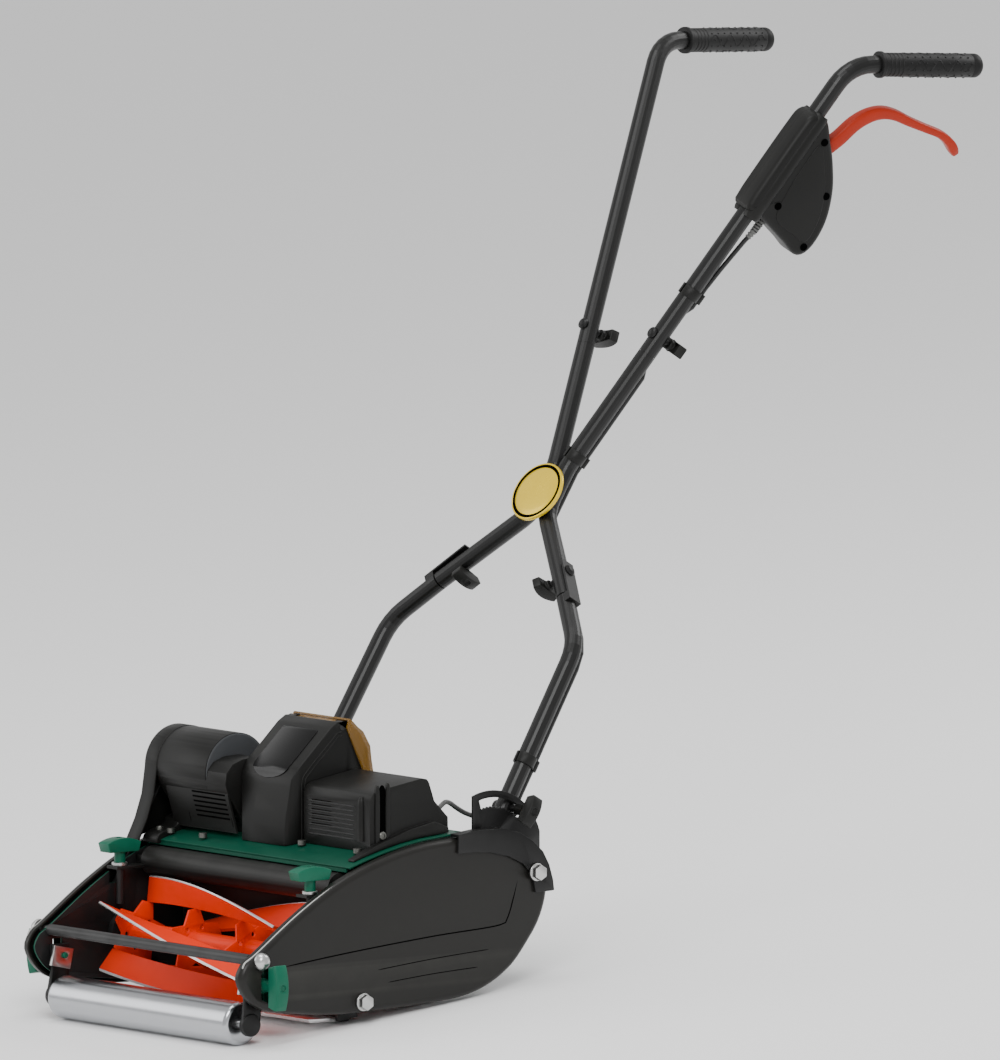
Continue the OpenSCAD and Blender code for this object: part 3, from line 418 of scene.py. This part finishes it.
# ---------------------------------------------------------------- hand-built pieces
def loft(name, rings, close_ends=True):
    """Mesh through closed rings of equal length; rings run anticlockwise seen from the last one."""
    n = len(rings[0])
    verts = [p for ring in rings for p in ring]
    faces = []
    for i in range(len(rings) - 1):
        for k in range(n):
            j = (k + 1) % n
            faces.append((i * n + k, i * n + j, (i + 1) * n + j, (i + 1) * n + k))
    if close_ends:
        faces.append(tuple(range(n - 1, -1, -1)))
        faces.append(tuple((len(rings) - 1) * n + k for k in range(n)))
    mesh = bpy.data.meshes.new(name)
    mesh.from_pydata([tuple(v) for v in verts], [], faces)
    mesh.update()
    tidy = bmesh.new()
    tidy.from_mesh(mesh)
    bmesh.ops.recalc_face_normals(tidy, faces=tidy.faces)
    tidy.to_mesh(mesh)
    tidy.free()
    return mesh


def join(name, meshes):
    """One mesh out of several."""
    out = bmesh.new()
    for mesh in meshes:
        out.from_mesh(mesh)
    merged = bpy.data.meshes.new(name)
    out.to_mesh(merged)
    out.free()
    return merged


def inset(outline, d):
    """Anticlockwise outline moved inwards by d at every corner."""
    out = []
    n = len(outline)
    for i in range(n):
        a, p, b = (Vector(outline[j % n]) for j in (i - 1, i, i + 1))
        u, v = (p - a).normalized(), (b - p).normalized()
        normal = Vector((-u.y - v.y, u.x + v.x)).normalized()
        scale = max(0.5, normal.dot(Vector((-v.y, v.x))))
        out.append(tuple(p + normal * d / scale))
    return out


def spline(p0, p1, p2, p3, t):
    """Point between p1 and p2 on the smooth curve through all four."""
    return 0.5 * (2 * p1 + (p2 - p0) * t + (2 * p0 - 5 * p1 + 4 * p2 - p3) * t * t
                  + (3 * p1 - p0 - 3 * p2 + p3) * t ** 3)


def spaced(dense, count, steps):
    """Points at even distances along a fine line."""
    lengths = [0.0]
    for a, b in zip(dense, dense[1:]):
        lengths.append(lengths[-1] + (b - a).length)
    out, j = [], 0
    for i in range(count):
        want = lengths[-1] * i / steps
        while j < len(dense) - 2 and lengths[j + 1] < want:
            j += 1
        f = (want - lengths[j]) / max(1e-9, lengths[j + 1] - lengths[j])
        out.append(dense[j].lerp(dense[j + 1], min(1, f)))
    return out


def resample(points, count, closed=True):
    """Evenly spaced points along a smooth curve through the given ones."""
    pts = [Vector(p) for p in points]
    n = len(pts)
    dense = []
    for i in range(n if closed else n - 1):
        if closed:
            corners = pts[i - 1], pts[i], pts[(i + 1) % n], pts[(i + 2) % n]
        else:
            corners = pts[max(i - 1, 0)], pts[i], pts[i + 1], pts[min(i + 2, n - 1)]
        dense += [spline(*corners, k / 12) for k in range(12)]
    dense.append(dense[0] if closed else pts[-1])
    return spaced(dense, count, count if closed else count - 1)


def resample_cord(points, count):
    """Evenly spaced points along a cord's route, which leaves both ends straight."""
    line = [Vector(p) for p in points]
    line = [line[0] * 2 - line[1]] + line + [line[-1] * 2 - line[-2]]
    dense = []
    for corners in zip(line, line[1:], line[2:], line[3:]):
        dense += [spline(*corners, k / 24) for k in range(24)]
    dense.append(line[-2])
    return spaced(dense, count, count - 1)


def smooth_outline(points, count):
    return [tuple(p) for p in resample(points, count)]


def anticlockwise(outline):
    """The outline, turned round if it runs clockwise."""
    area = sum(a[0] * b[1] - b[0] * a[1] for a, b in zip(outline, outline[1:] + outline[:1]))
    return outline[::-1] if area < 0 else outline


def directions(line):
    """Direction of a line at each of its points."""
    last = len(line) - 1
    return [(line[min(i + 1, last)] - line[max(i - 1, 0)]).normalized() for i in range(last + 1)]


def turns(sides):
    """Angles of evenly spaced points round a circle."""
    return [2 * math.pi * k / sides for k in range(sides)]


def tube(points, radius, sides=10):
    """Round cord through points (world metres); radius is one number, or one for each point."""
    rings = []
    side = None
    for i, (p, d) in enumerate(zip(points, directions(points))):
        if side is None:
            side = d.orthogonal().normalized()
        side = (side - d * side.dot(d)).normalized()
        up = d.cross(side)
        r = radius[i] if isinstance(radius, list) else radius
        rings.append([p + (side * math.cos(t) + up * math.sin(t)) * r for t in turns(sides)])
    return loft("tube", rings)


def turned(name, profile, sides, place):
    """Mesh turned round an axis, from heights and radii; place(height, a, b) gives world points."""
    rings = [[place(h, r * math.cos(t), r * math.sin(t)) for t in turns(sides)] for h, r in profile]
    return loft(name, rings)


def rounded_prism(outline, place, z_near, z_far, radius, steps=6):
    """Solid between two heights whose far edge is rounded; place(a, b, z) gives world points."""
    outline = anticlockwise(outline)
    way = 1 if z_far > z_near else -1
    rings = [[place(a, b, z_near) for a, b in outline]]
    for k in range(steps + 1):
        t = math.radians(90 * k / steps)
        rings.append([place(a, b, z_far - way * radius * (1 - math.sin(t)))
                      for a, b in inset(outline, radius * (1 - math.cos(t)))])
    return loft("prism", rings)


def ball(centre, r):
    mesh = bpy.data.meshes.new("ball")
    bm = bmesh.new()
    bmesh.ops.create_icosphere(bm, subdivisions=2, radius=r)
    for v in bm.verts:
        v.co += centre
    bm.to_mesh(mesh)
    bm.free()
    return mesh


# ---------------------------------------------------------------- side covers
# From here on, points are of the chassis frame, in millimetres; outlines seen from the side are (y, z)
COVER_X = 180.2         # x of the rim's inner edge
COVER_OUT = 191.2       # x of the face
COVER_EDGE = 7.5        # radius between the face and the rim
COVER_FACE = 2.6        # thickness of the face
COVER_RIM = 2.5         # thickness of the rim
COVER_FLOOR = 9         # how far inside the outline the face's flat back starts
SIDE_OUTLINE = [
    (-26, -20), (-19, -2), (-3, 9), (51, 46), (105, 76), (159, 96), (213, 108), (267, 112), (321, 113),
    (357, 101), (378, 80), (386, 52), (378, 21), (360, -6), (334, -33), (294, -53), (240, -61), (119, -65),
    (51, -60), (11, -54), (-12, -42)]
SLOT_CENTRE = (9, -27)  # slot for the height setting
SLOT_HALF = 10.5
SLOT_RADIUS = 8.5
# lines and radii of the near-black tubes that paint shade into the pressed creases
CREASES = [
    ([(22, -9), (120, 1), (230, 10), (316, 15), (330, 22), (338, 42), (346, 68)], 0.85),
    ([(150, -21), (230, -14), (312, -9)], 0.6),
    ([(165, -35), (230, -30), (296, -27)], 0.6),
]
# line of the bead that paints the highlight on the covers' front edge
PAINTED_HIGHLIGHT_LINE = [(-20.5, -8), (-18, -1), (-2, 8.2), (51, 44.4), (105, 74.2), (159, 94.2), (213, 106.2),
            (267, 110.3)]


def cover_skin(node, sign):
    """Hollow cover with a rounded edge and the slot for the height setting."""
    outline = anticlockwise(smooth_outline(SIDE_OUTLINE, 150))
    profile = [(COVER_X, COVER_RIM), (COVER_X, 0.3), (COVER_X + 0.4, 0)]
    for k in range(9):
        a = math.radians(90 * k / 8)
        profile.append((COVER_OUT - COVER_EDGE * (1 - math.sin(a)), COVER_EDGE * (1 - math.cos(a))))
    slot = []
    for t in turns(24):
        half = SLOT_HALF if math.sin(t) > 0 else -SLOT_HALF
        slot.append((SLOT_CENTRE[0] + SLOT_RADIUS * math.cos(t),
                     SLOT_CENTRE[1] + half + SLOT_RADIUS * math.sin(t)))
    bm = bmesh.new()

    def ring(x, pts):
        return [bm.verts.new(at(sign * x, *p)) for p in pts]

    def bridge(a, b):
        n = len(a)
        for k in range(n):
            bm.faces.new((a[k], a[(k + 1) % n], b[(k + 1) % n], b[k]))

    def cap(outer, outer_line, hole):
        corners = outer + hole
        flat = [[Vector((y, z, 0)) for y, z in line] for line in (outer_line, slot)]
        for tri in tessellate_polygon(flat):
            bm.faces.new([corners[i] for i in tri])

    rings = [ring(x, inset(outline, d)) for x, d in profile]
    for a, b in zip(rings, rings[1:]):
        bridge(a, b)
    back = COVER_OUT - COVER_FACE
    inner = [ring(COVER_X, inset(outline, COVER_RIM)), ring(COVER_OUT - 5, inset(outline, COVER_RIM + 1)),
             ring(back, inset(outline, COVER_FLOOR))]
    bridge(inner[0], inner[1])
    bridge(inner[1], inner[2])
    hole_out, hole_in = ring(COVER_OUT, slot), ring(back, slot)
    bridge(hole_out, hole_in)
    cap(rings[-1], inset(outline, COVER_EDGE), hole_out)
    cap(inner[-1], inset(outline, COVER_FLOOR), hole_in)
    bmesh.ops.remove_doubles(bm, verts=bm.verts, dist=1e-6)
    bmesh.ops.recalc_face_normals(bm, faces=bm.faces)
    mesh = bpy.data.meshes.new(node + "_skin")
    bm.to_mesh(mesh)
    bm.free()
    return mesh


def cover_crease_shade(node, sign):
    """Near-black tubes along the pressed creases of the face, painted shade of the creases; thin at both ends."""
    count, fade = 48, 5
    lines = []
    for line, size in CREASES:
        path = [at(sign * (COVER_OUT - 0.35), p.x, p.y) for p in resample(line, count, closed=False)]
        thick = [min(1, 0.25 + i / fade, 0.25 + (count - 1 - i) / fade) for i in range(count)]
        lines.append(tube(path, [size * MM * share for share in thick], 8))
    return join(node + "_crease_shade", lines)


def cover_painted_highlight(sign):
    """Light grey bead along the front edge, a painted highlight of the rounded edge; it fades out to the rear."""
    count, fade = 90, 60
    path = [at(sign * (COVER_OUT - 4.6), p.x, p.y) for p in resample(PAINTED_HIGHLIGHT_LINE, count, closed=False)]
    return tube(path, [MM * min(1, 0.1 + (count - 1 - i) / fade) for i in range(count)])


def side_cover(node, sign, materials):
    add_piece(node + "_fine", cover_skin(node, sign), node, materials["cover_plastic"], smooth=28)
    add_detail(node + "_crease_shade", cover_crease_shade(node, sign), node, materials["black_and_painted_shade"], 50)
    # the bead paints a highlight along the cover's front edge
    add_detail(node + "_painted_highlight", cover_painted_highlight(sign), node, materials["painted_highlight_grey"], 50)


# ---------------------------------------------------------------- grips, lever and switch case
SEAM = Vector((53, 627, 592))         # where the middle tube meets the upper tube
CROWN = Vector((163, 816, 899))       # top of the upper tube, where the grip turns back
GRIP_END = Vector((181, 979, 889))
HIGH = (CROWN - SEAM).normalized()
GRIP_DIR = (GRIP_END - CROWN).normalized()
CASE_SIDE = (Vector((1, 0, 0)) - HIGH * HIGH.x).normalized()
CASE_REAR = HIGH.cross(CASE_SIDE)
GRIP_START = 34                       # from the crown
GRIP_RADIUS = 13.0
GRIP_RELIEF = 12.75                   # radius at which dots and waves stand
GRIP_END_ROUND = 8.7
GRIP_WAVES = 4
DOT_ROWS = 11
DOTS_PER_ROW = 9


def in_case(a, b, z):
    """Point of the switch case: a up the tube, b to the rear, z outwards (mm)."""
    return at(*(CROWN + HIGH * a + CASE_REAR * b + CASE_SIDE * z))


def grip_profile(length):
    """Distances and radii: collar, four grooves, a plain length, one groove and a round end."""
    r, groove, shallow = GRIP_RADIUS, GRIP_RADIUS - 0.6, GRIP_RADIUS - 0.5
    profile = [(0, 9.9), (0, 13.4), (0.8, 14.4), (4.2, 14.5), (5, 13.8), (5.6, r)]
    for base in (9, 14, 19, 24):
        profile += [(base, r), (base + 0.6, groove), (base + 1.8, groove), (base + 2.4, r)]
    profile += [(33, r), (60, r), (90, r), (length - 16, r), (length - 15.4, shallow),
                (length - 14.2, shallow), (length - 13.6, r)]
    for k in range(7):
        a = math.radians(90 * k / 6)
        profile.append((length - GRIP_END_ROUND * (1 - math.sin(a)), max(0.4, r * math.cos(a))))
    return profile


def grip(sign):
    start = CROWN + GRIP_DIR * GRIP_START
    length = (GRIP_END - start).length
    side = GRIP_DIR.orthogonal().normalized()
    up = GRIP_DIR.cross(side)

    def place(s, t, r):
        """Point at distance s along the grip, angle t and radius r."""
        v = start + GRIP_DIR * s + (side * math.cos(t) + up * math.sin(t)) * r
        return at(sign * v.x, v.y, v.z)

    parts = [loft("grip", [[place(s, t, r) for t in turns(40)] for s, r in grip_profile(length)])]
    for i, t in enumerate(turns(DOT_ROWS)):
        for j in range(DOTS_PER_ROW):
            s = 32 + j * (length - 54) / (DOTS_PER_ROW - 1) + (3.5 if i % 2 else 0)
            if s <= length - 18:
                parts.append(ball(place(s, t, GRIP_RELIEF), 1.15 * MM))
    for i in range(GRIP_WAVES):
        middle = 2 * math.pi * (i + 0.5) / GRIP_WAVES
        path = [place(30 + k * (length - 50) / 40, middle + 0.5 * math.sin(k * 0.55), GRIP_RELIEF)
                for k in range(41)]
        parts.append(tube(path, 0.75 * MM, 6))
    return join("grip_body", parts)


def grips(materials):
    both = join("grips_fine", [grip(1), grip(-1)])
    add_piece("grips_fine", both, "grips", materials["grip_rubber"], smooth=40)


LEVER_LINE = [(-108, 26), (-92, 34), (-72, 42), (-50, 48), (-34, 57), (-23, 69), (-17, 84), (-14, 104),
              (-10, 126), (-6, 148), (-8, 165), (-14, 179)]
LEVER_THICK = [17, 17, 16.5, 16, 15.5, 14, 12, 10.5, 9.5, 9, 10, 13]
LEVER_WIDE = 14.0
LEVER_POINTS = 72
LEVER_TIP = 6           # points over which the tip closes
LEVER_SQUARE = 0.55     # exponent of the section: 1 is an ellipse, less is squarer


def lever(materials):
    """Switch lever along its curve, with a section between an ellipse and a rectangle."""
    line = resample(LEVER_LINE, LEVER_POINTS, closed=False)
    last = LEVER_POINTS - 1
    tip = LEVER_POINTS - LEVER_TIP
    rings = []
    for i, (p, d) in enumerate(zip(line, directions(line))):
        f = i / last * (len(LEVER_THICK) - 1)
        j = min(int(f), len(LEVER_THICK) - 2)
        thick = LEVER_THICK[j] + (LEVER_THICK[j + 1] - LEVER_THICK[j]) * (f - j)
        ease = math.sqrt(max(0.0, 1 - ((i - tip) / LEVER_TIP) ** 2)) if i > tip else 1.0
        ease = max(ease, 0.12)
        across = Vector((-d.y, d.x))
        ring = []
        for t in turns(28):
            c, s = math.cos(t), math.sin(t)
            q = p + across * (math.copysign(abs(c) ** LEVER_SQUARE, c) * thick * ease / 2)
            z = math.copysign(abs(s) ** LEVER_SQUARE, s) * LEVER_WIDE * ease / 2
            ring.append(in_case(q.x, q.y, z))
        rings.append(ring)
    mesh = loft("switch_lever_fine", rings)
    add_piece("switch_lever_fine", mesh, "switch_lever", materials["lever_red"], smooth=50)


CASE_OUTLINE = [
    (-70, -15), (-62, -5), (-64, 8), (-78, 24), (-96, 44), (-122, 66), (-153, 81), (-184, 84),
    (-200, 74), (-196, 50), (-190, 13), (-190, -12), (-180, -16), (-150, -17), (-90, -17)]
CASE_FIELD = [(-88, 14), (-104, 34), (-128, 55), (-156, 69), (-182, 71), (-184, 52), (-180, 22), (-150, 14),
              (-118, 12)]
CASE_SLEEVE = [(-196, 8.0), (-192, 9.6), (-150, 9.8), (-110, 9.8), (-80, 9.8), (-66, 9.4), (-62, 7.6)]
CASE_SCREWS = [(-84, 17), (-130, 59), (-168, 15), (-188, 73)]
SCREW_RADIUS = 4.2
SOCKET_SHARE = 0.55


def case_half(node, z_near, z_far, materials):
    """Half of the switch case: body, raised field, sleeve round the tube and four screws."""
    way = 1 if z_far > z_near else -1
    body = rounded_prism(smooth_outline(CASE_OUTLINE, 90), in_case, z_near, z_far, 7.0, 7)
    field = rounded_prism(smooth_outline(CASE_FIELD, 60), in_case, z_far - way * 3, z_far + way * 0.9,
                          1.2, 4)
    sleeve = tube([in_case(a, -1, z_far - way * 7.6) for a, r in CASE_SLEEVE],
                  [r * MM for a, r in CASE_SLEEVE], 24)
    mesh = join(node + "_fine", [body, field, sleeve])
    add_piece(node + "_fine", mesh, node, materials["black_plastic"], smooth=35)
    # bosses and sockets in near-black: painted shade of the screw recesses
    for i, (a, b) in enumerate(CASE_SCREWS):
        boss, socket = ([(a + r * math.cos(t), b + r * math.sin(t)) for t in turns(20)]
                        for r in (SCREW_RADIUS, SCREW_RADIUS * SOCKET_SHARE))
        parts = [rounded_prism(boss, in_case, z_far - way * 2, z_far + way * 1.3, 1.0, 3),
                 rounded_prism(socket, in_case, z_far, z_far + way * 1.45, 0.2, 2)]
        name = f"{node}_boss_{i}"
        add_piece(name, join(name, parts), node, materials["black_and_painted_shade"], smooth=35)


# ---------------------------------------------------------------- badge
BADGE_CENTRE = Vector((0, 529, 435.5))
BADGE_DEPTH = 12.75     # the badge's back, in front of the tubes' plane
BADGE_UP = 5.4
BADGE_HALF = (37.5, 34)
WAIST_X = 9.75 + 0.3    # half the gap between the middle tubes at the waist


def handle_normal():
    """Rearward normal of the plane that the handle's tubes lie in."""
    waist = SEAM - HIGH * (SEAM.x - WAIST_X) / HIGH.x
    return Vector((0, CROWN.y - waist.y, CROWN.z - waist.z)).cross(Vector((1, 0, 0))).normalized()


def badge(materials):
    """Oval plate: gold face, black ring, gold edge and a dark back."""
    normal = handle_normal()
    centre = BADGE_CENTRE - normal * BADGE_DEPTH
    right = Vector((1, 0, 0))
    up = right.cross(normal).normalized()
    if up.z < 0:
        up = -up

    def oval(name, profile, material, slot, closed):
        """Piece from a profile of insets and heights."""
        rings = []
        for d, z in profile:
            across, high = BADGE_HALF[0] - d, BADGE_HALF[1] - d
            rings.append([at(*(centre + right * (across * math.cos(t))
                               + up * (high * math.sin(t) + BADGE_UP) - normal * z)) for t in turns(72)])
        mesh = loft(name, rings, close_ends=closed)
        add_piece(name, mesh, "badge", materials[material], slot=slot, smooth=40)

    oval("badge_plate", [(5.4, 0.2), (5.4, 2.0), (5.8, 2.3), (12, 2.9), (20, 3.2), (28, 3.35), (33.6, 3.4)],
         "badge_gold", "badge_gold", True)
    oval("badge_ring", [(5.7, 0.6), (5.7, 2.2), (5.0, 2.9), (3.4, 3.0), (2.5, 2.7), (2.3, 0.6)],
         "black_and_painted_shade", "black_plastic", False)
    oval("badge_edge", [(2.4, 0.6), (2.4, 2.3), (1.9, 2.7), (0.9, 2.5), (0.2, 1.6), (0, 0.8), (0.1, -0.8),
                        (0.8, -1.4), (2.6, -1.4)], "badge_gold", "badge_gold", False)
    oval("badge_back", [(2.6, 0.6), (2.6, -1.2), (12, -1.5)], "black_steel", "black_plastic", True)


# ---------------------------------------------------------------- battery tower
PANEL_LINE = [(155.8, 167), (158.8, 173), (163.5, 180.6), (180, 195.9), (203, 217.3)]
PANEL_HALF = 30.0
PANEL_FOOT = 0.22       # share of the length over which the foot is rounded
PANEL_HEAD = 0.94       # where the head's rounding starts
PANEL_CORNER = 5.0
RIB_SIDE = 45.9


def quarter(share):
    """Height of a quarter circle at a share of its width."""
    return math.sqrt(max(0.0, 1 - share ** 2))


def tower_panel(materials):
    """Plain gloss panel that follows the tower's front and slope."""
    line = resample(PANEL_LINE, 60, closed=False)
    rings = []
    for i, (p, d) in enumerate(zip(line, directions(line))):
        f = i / (len(line) - 1)
        half = PANEL_HALF
        if f < PANEL_FOOT:
            half = PANEL_HALF * quarter(1 - f / PANEL_FOOT)
        elif f > PANEL_HEAD:
            half = PANEL_HALF - PANEL_CORNER * (1 - quarter((f - PANEL_HEAD) / (1 - PANEL_HEAD)))
        half = max(half, 2.0)
        out = Vector((-d.y, d.x))
        near, far, top = p - out * 0.8, p + out * 0.7, p + out * 1.0
        rings.append([at(x, q.x, q.y) for x, q in ((-half, near), (-half, far), (-half + 0.6, top),
                                                   (half - 0.6, top), (half, far), (half, near))])
    add_detail("tower_panel", loft("tower_panel", rings), "battery_tower", materials["panel_gloss"], 30)


def tower_ribs(materials):
    """Pairs of fine ribs that follow the tower's front edge on both sides, d mm inside it."""
    for sign in (1, -1):
        lines = []
        for d in (0, 4):
            path = resample([(167.5 + d, 104), (167.5 + d, 150), (167.8 + d, 166 - d * 0.4),
                             (174 + d * 0.6, 176 - d * 0.9), (207 + d * 0.4, 207 - d), (215, 214 - d),
                             (221, 215 - d)], 60, closed=False)
            lines.append(tube([at(sign * RIB_SIDE, p.x, p.y) for p in path], 0.75 * MM, 8))
        name = f"tower_ribs_{sign}"
        add_detail(name, join(name, lines), "battery_tower", materials["black_plastic"], 50)


# ---------------------------------------------------------------- control housing
CONTROL_SIDE = 163.5    # inner end of the details on the housing's side
CONTROL_SLABS = {       # y range, z range, x range, edge radius and material
    "control_rib_front": ((173, 178), (111, 166.5), (CONTROL_SIDE, 167.4), 1.4, "black_plastic"),
    "control_rib_rear": ((187, 192), (112, 168), (CONTROL_SIDE, 167.4), 1.4, "black_plastic"),
    # the channel is near-black: painted shade in the groove between the ribs
    "control_channel": ((178.5, 186.5), (122, 166.5), (164.6, 165.25), 0.2, "black_and_painted_shade"),
}
CONTROL_SCREW = [(164.6, 4.6), (166.6, 4.6), (167.4, 3.8), (167.5, 2.4), (166.4, 2.2), (166.3, 0.4)]
CONTROL_BOSS = [(112, 4.2), (130, 4.2), (150, 4.2), (155, 3.8), (158, 2.6), (159.6, 0.8)]


def rectangle(a, b):
    """Corners of a rectangle from two ranges."""
    return [(a[0], b[0]), (a[1], b[0]), (a[1], b[1]), (a[0], b[1])]


def control_details(materials):
    """Screw column, louvres and front boss of the control housing."""
    node = "control_housing"
    for name, (y, z, x, radius, material) in CONTROL_SLABS.items():
        outline = smooth_outline(rectangle(y, z), 48)
        slab = rounded_prism(outline, lambda a, b, h: at(h, a, b), *x, radius, 4)
        add_detail(name, slab, node, materials[material], 40)
    screw = turned("control_screw", CONTROL_SCREW, 28, lambda x, a, b: at(x, 182.5 + a, 118 + b))
    add_detail("control_screw", screw, node, materials["dull_zinc"], 35, slot="zinc")
    bars = []
    for i in range(8):
        z = 112 + i * 5
        bar = smooth_outline(rectangle((64, 132), (z, z + 1.5)), 40)
        bars.append(rounded_prism(bar, lambda a, b, h: at(a, h, b), 167.2, 166.0, 0.15, 2))
    add_detail("control_louvres", join("control_louvres", bars), node, materials["panel_gloss"], 40)
    boss = tube([at(150, 166.6, z) for z, r in CONTROL_BOSS], [r * MM for z, r in CONTROL_BOSS], 24)
    add_detail("control_boss", boss, node, materials["black_plastic"], 45)


# ---------------------------------------------------------------- motor
SKIRT = [(139.6, 153), (139.9, 147), (141.8, 138), (145.3, 126), (149, 114), (151.8, 103)]
SKIRT_WALL = 2.6
SKIRT_SPAN = (-154.5, -153.9, -120, -80, -48, -47.4)
LOUVRE_COUNT = 6
LOUVRE_PITCH = 5.2
LOUVRE_DEPTHS = (0.6, -0.25)   # behind and in front of the wall
FOOT_LINE = [(124, 85), (125, 95), (148, 103), (153, 110), (168, 114), (170, 100), (150, 93)]
FOOT_X = -160           # the foot's two halves start here
FOOT_SIDES = (-172, -147)
FOOT_SCREWS = [(-160, 136, 98.5), (-158, 160, 111.5)]
FOOT_SCREW = [(-2, 4.2), (2.6, 4.2), (3.4, 3.4), (3.5, 2.0), (2.4, 1.8), (2.3, 0.3)]
DRUM_CAP = [(-82.5, 41.2), (-80.6, 41.2), (-80.2, 40.6), (-80.1, 39), (-80.0, 30), (-79.9, 10),
            (-79.9, 0.5)]


def motor_skirt(materials):
    """Front wall below the motor drum, with near-black bars that paint the shade of its louvre slots, and the dark
    line round them.
    """
    line = resample(SKIRT, 30, closed=False)
    section = [(p.x, p.y) for p in line] + [(p.x + SKIRT_WALL, p.y) for p in reversed(line)]
    wall = loft("motor_skirt", [[at(x, y, z) for y, z in section] for x in SKIRT_SPAN])
    add_detail("motor_skirt", wall, "motor_housing", materials["black_plastic"], 35)

    def on_wall(z):
        for a, b in zip(line, line[1:]):
            if b.y <= z <= a.y:
                return a.x + (b.x - a.x) * (a.y - z) / (a.y - b.y)
        return line[-1].x

    def bar(x, z):
        return loft("bar", [[at(a, on_wall(b) + depth, b) for a, b in rectangle(x, z)]
                            for depth in LOUVRE_DEPTHS])

    # near-black bars: painted shade of the louvre slots, and a dark line round them
    bars = []
    for i in range(LOUVRE_COUNT):
        bars.append(bar((-110, -53), (143 - i * LOUVRE_PITCH, 144.8 - i * LOUVRE_PITCH)))
    bars += [bar((-124, -50), (149.4, 150)), bar((-124, -123.4), (110, 149.4)),
             bar((-50.6, -50), (110, 149.4))]
    louvres = join("motor_louvre_shade_and_outline", bars)
    add_detail("motor_louvre_shade_and_outline", louvres, "motor_housing", materials["black_and_painted_shade"], 40)


def motor_foot(materials):
    """Front foot of the drive cover on the deck, with its two screws."""
    outline = smooth_outline(FOOT_LINE, 60)
    halves = [rounded_prism(outline, lambda a, b, h: at(h, a, b), FOOT_X, x, 1.5, 4) for x in FOOT_SIDES]
    add_detail("motor_foot", join("motor_foot", halves), "drive_cover", materials["black_plastic"], 40)
    for i, (x, y, z) in enumerate(FOOT_SCREWS):
        name = f"motor_foot_screw_{i}"
        screw = turned(name, FOOT_SCREW, 28, lambda h, a, b: at(x + a, y + b, z + h))
        add_detail(name, screw, "housing_screws", materials["dull_zinc"], 35)


def drum_cap(materials):
    """Lighter end plate of the motor drum."""
    centre = Vector(joints["motor_spin"]["pos_m"])

    def place(x, a, b):
        return Vector((x * MM, centre.y, centre.z)) + (REAR * a + UP * b) * MM

    cap = turned("drum_cap", DRUM_CAP, 64, place)
    add_detail("drum_cap", cap, "motor_housing", materials["drum_grey"], 35)


# ---------------------------------------------------------------- cable
LOOP_LINE = [(159.6, 366.5, 141.5), (158.6, 369, 133), (154, 368.5, 126), (147, 362, 121.5), (142, 348, 121),
             (140, 330, 125), (142, 312, 131), (146, 297, 138), (151, 285, 144), (155.5, 275, 146.5),
             (157, 267.5, 143), (157, 261.5, 138)]
CABLE_RADIUS = 2.6
RELIEF_RIBS = 7
RELIEF_PITCH = 3.4
RELIEF_AWAY = Vector((0, 0.852, -0.524)) * 22   # from the tube's axis to the cable's exit
RELIEF_DROP = Vector((0, -3, 1)) / 16


def cable_loop(materials):
    """Slack of the cable between the handle and the control housing."""
    points = [at(*p) for p in resample_cord(LOOP_LINE, 90)]
    # the loop is drawn lighter grey than the cable: a painted sheen
    obj = add_piece("cable_loop_fine", tube(points, CABLE_RADIUS * MM, 14), "cable_loop",
                    materials["cable_painted_sheen"], ride=False, smooth=50)
    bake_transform(obj)


def strain_relief(materials):
    """Ribbed sleeve where the cable leaves the case; it tapers and leans after the first ribs."""
    centre = CROWN - HIGH * 203 + RELIEF_AWAY
    stops = []
    for k in range(RELIEF_RIBS):
        s = 12 - k * RELIEF_PITCH
        r = 4.9 - 0.25 * k
        stops += [(s, r - 0.9), (s - 0.3, r), (s - 1.9, r), (s - 2.2, r - 0.9)]
    points = [at(*(centre + HIGH * s + RELIEF_DROP * max(0, -s))) for s, r in stops]
    add_detail("strain_relief", tube(points, [r * MM for s, r in stops], 20), "handle_cable",
               materials["sleeve_grey"], 40)


# ---------------------------------------------------------------- blade adjusters
ADJUSTER = (165, 86)    # x and y of the left one's axis
ADJUSTER_PARTS = {      # heights and radii, and material
    "_washer": ([(63.1, 7.6), (63.1, 8.1), (63.5, 8.6), (66.2, 8.6), (66.6, 8.1), (66.6, 6.2)], "zinc"),
    "_rod": ([(21.8, 3.2), (22.4, 3.7), (62.8, 3.7), (63.0, 3.2)], "black_steel"),
}


def adjuster_metal(materials):
    """Washer and stem of each blade adjuster."""
    x, y = ADJUSTER
    for sign, node in ((1, "adjuster_left"), (-1, "adjuster_right")):
        for part, (profile, metal) in ADJUSTER_PARTS.items():
            mesh = turned(node + part, profile, 32, lambda z, a, b: at(sign * x + a, y + b, z))
            add_detail(node + part, mesh, node, materials[metal], 35, slot=metal)


def paint_nodes(materials):
    """Gives every CAD node its material, and the listed ones rounded edges."""
    for node, obj in frame["nodes"].items():
        obj.data.materials.clear()
        obj.data.materials.append(materials["dull_zinc" if node == "housing_screws" else SLOT_OF[node]])
        if node in ROUNDED:
            paint = "frame_paint" if node == "side_frames" else SLOT_OF[node]
            refine(node, materials[paint], ROUNDED[node])


def main():
    make_camera()
    make_stage()
    make_lights()
    materials = make_materials()
    ground_edge(materials["blade_orange"], Vector(joints["reel_spin"]["pos_m"]), GROUND_RADIUS)
    paint_nodes(materials)
    side_cover("side_cover_left", 1, materials)
    side_cover("side_cover_right", -1, materials)
    grips(materials)
    lever(materials)
    case_half("switch_case_outer", 0.1, 20, materials)
    case_half("switch_case_inner", -0.1, -16, materials)
    badge(materials)
    tower_panel(materials)
    tower_ribs(materials)
    control_details(materials)
    motor_skirt(materials)
    motor_foot(materials)
    drum_cap(materials)
    cable_loop(materials)
    adjuster_metal(materials)
    strain_relief(materials)


main()
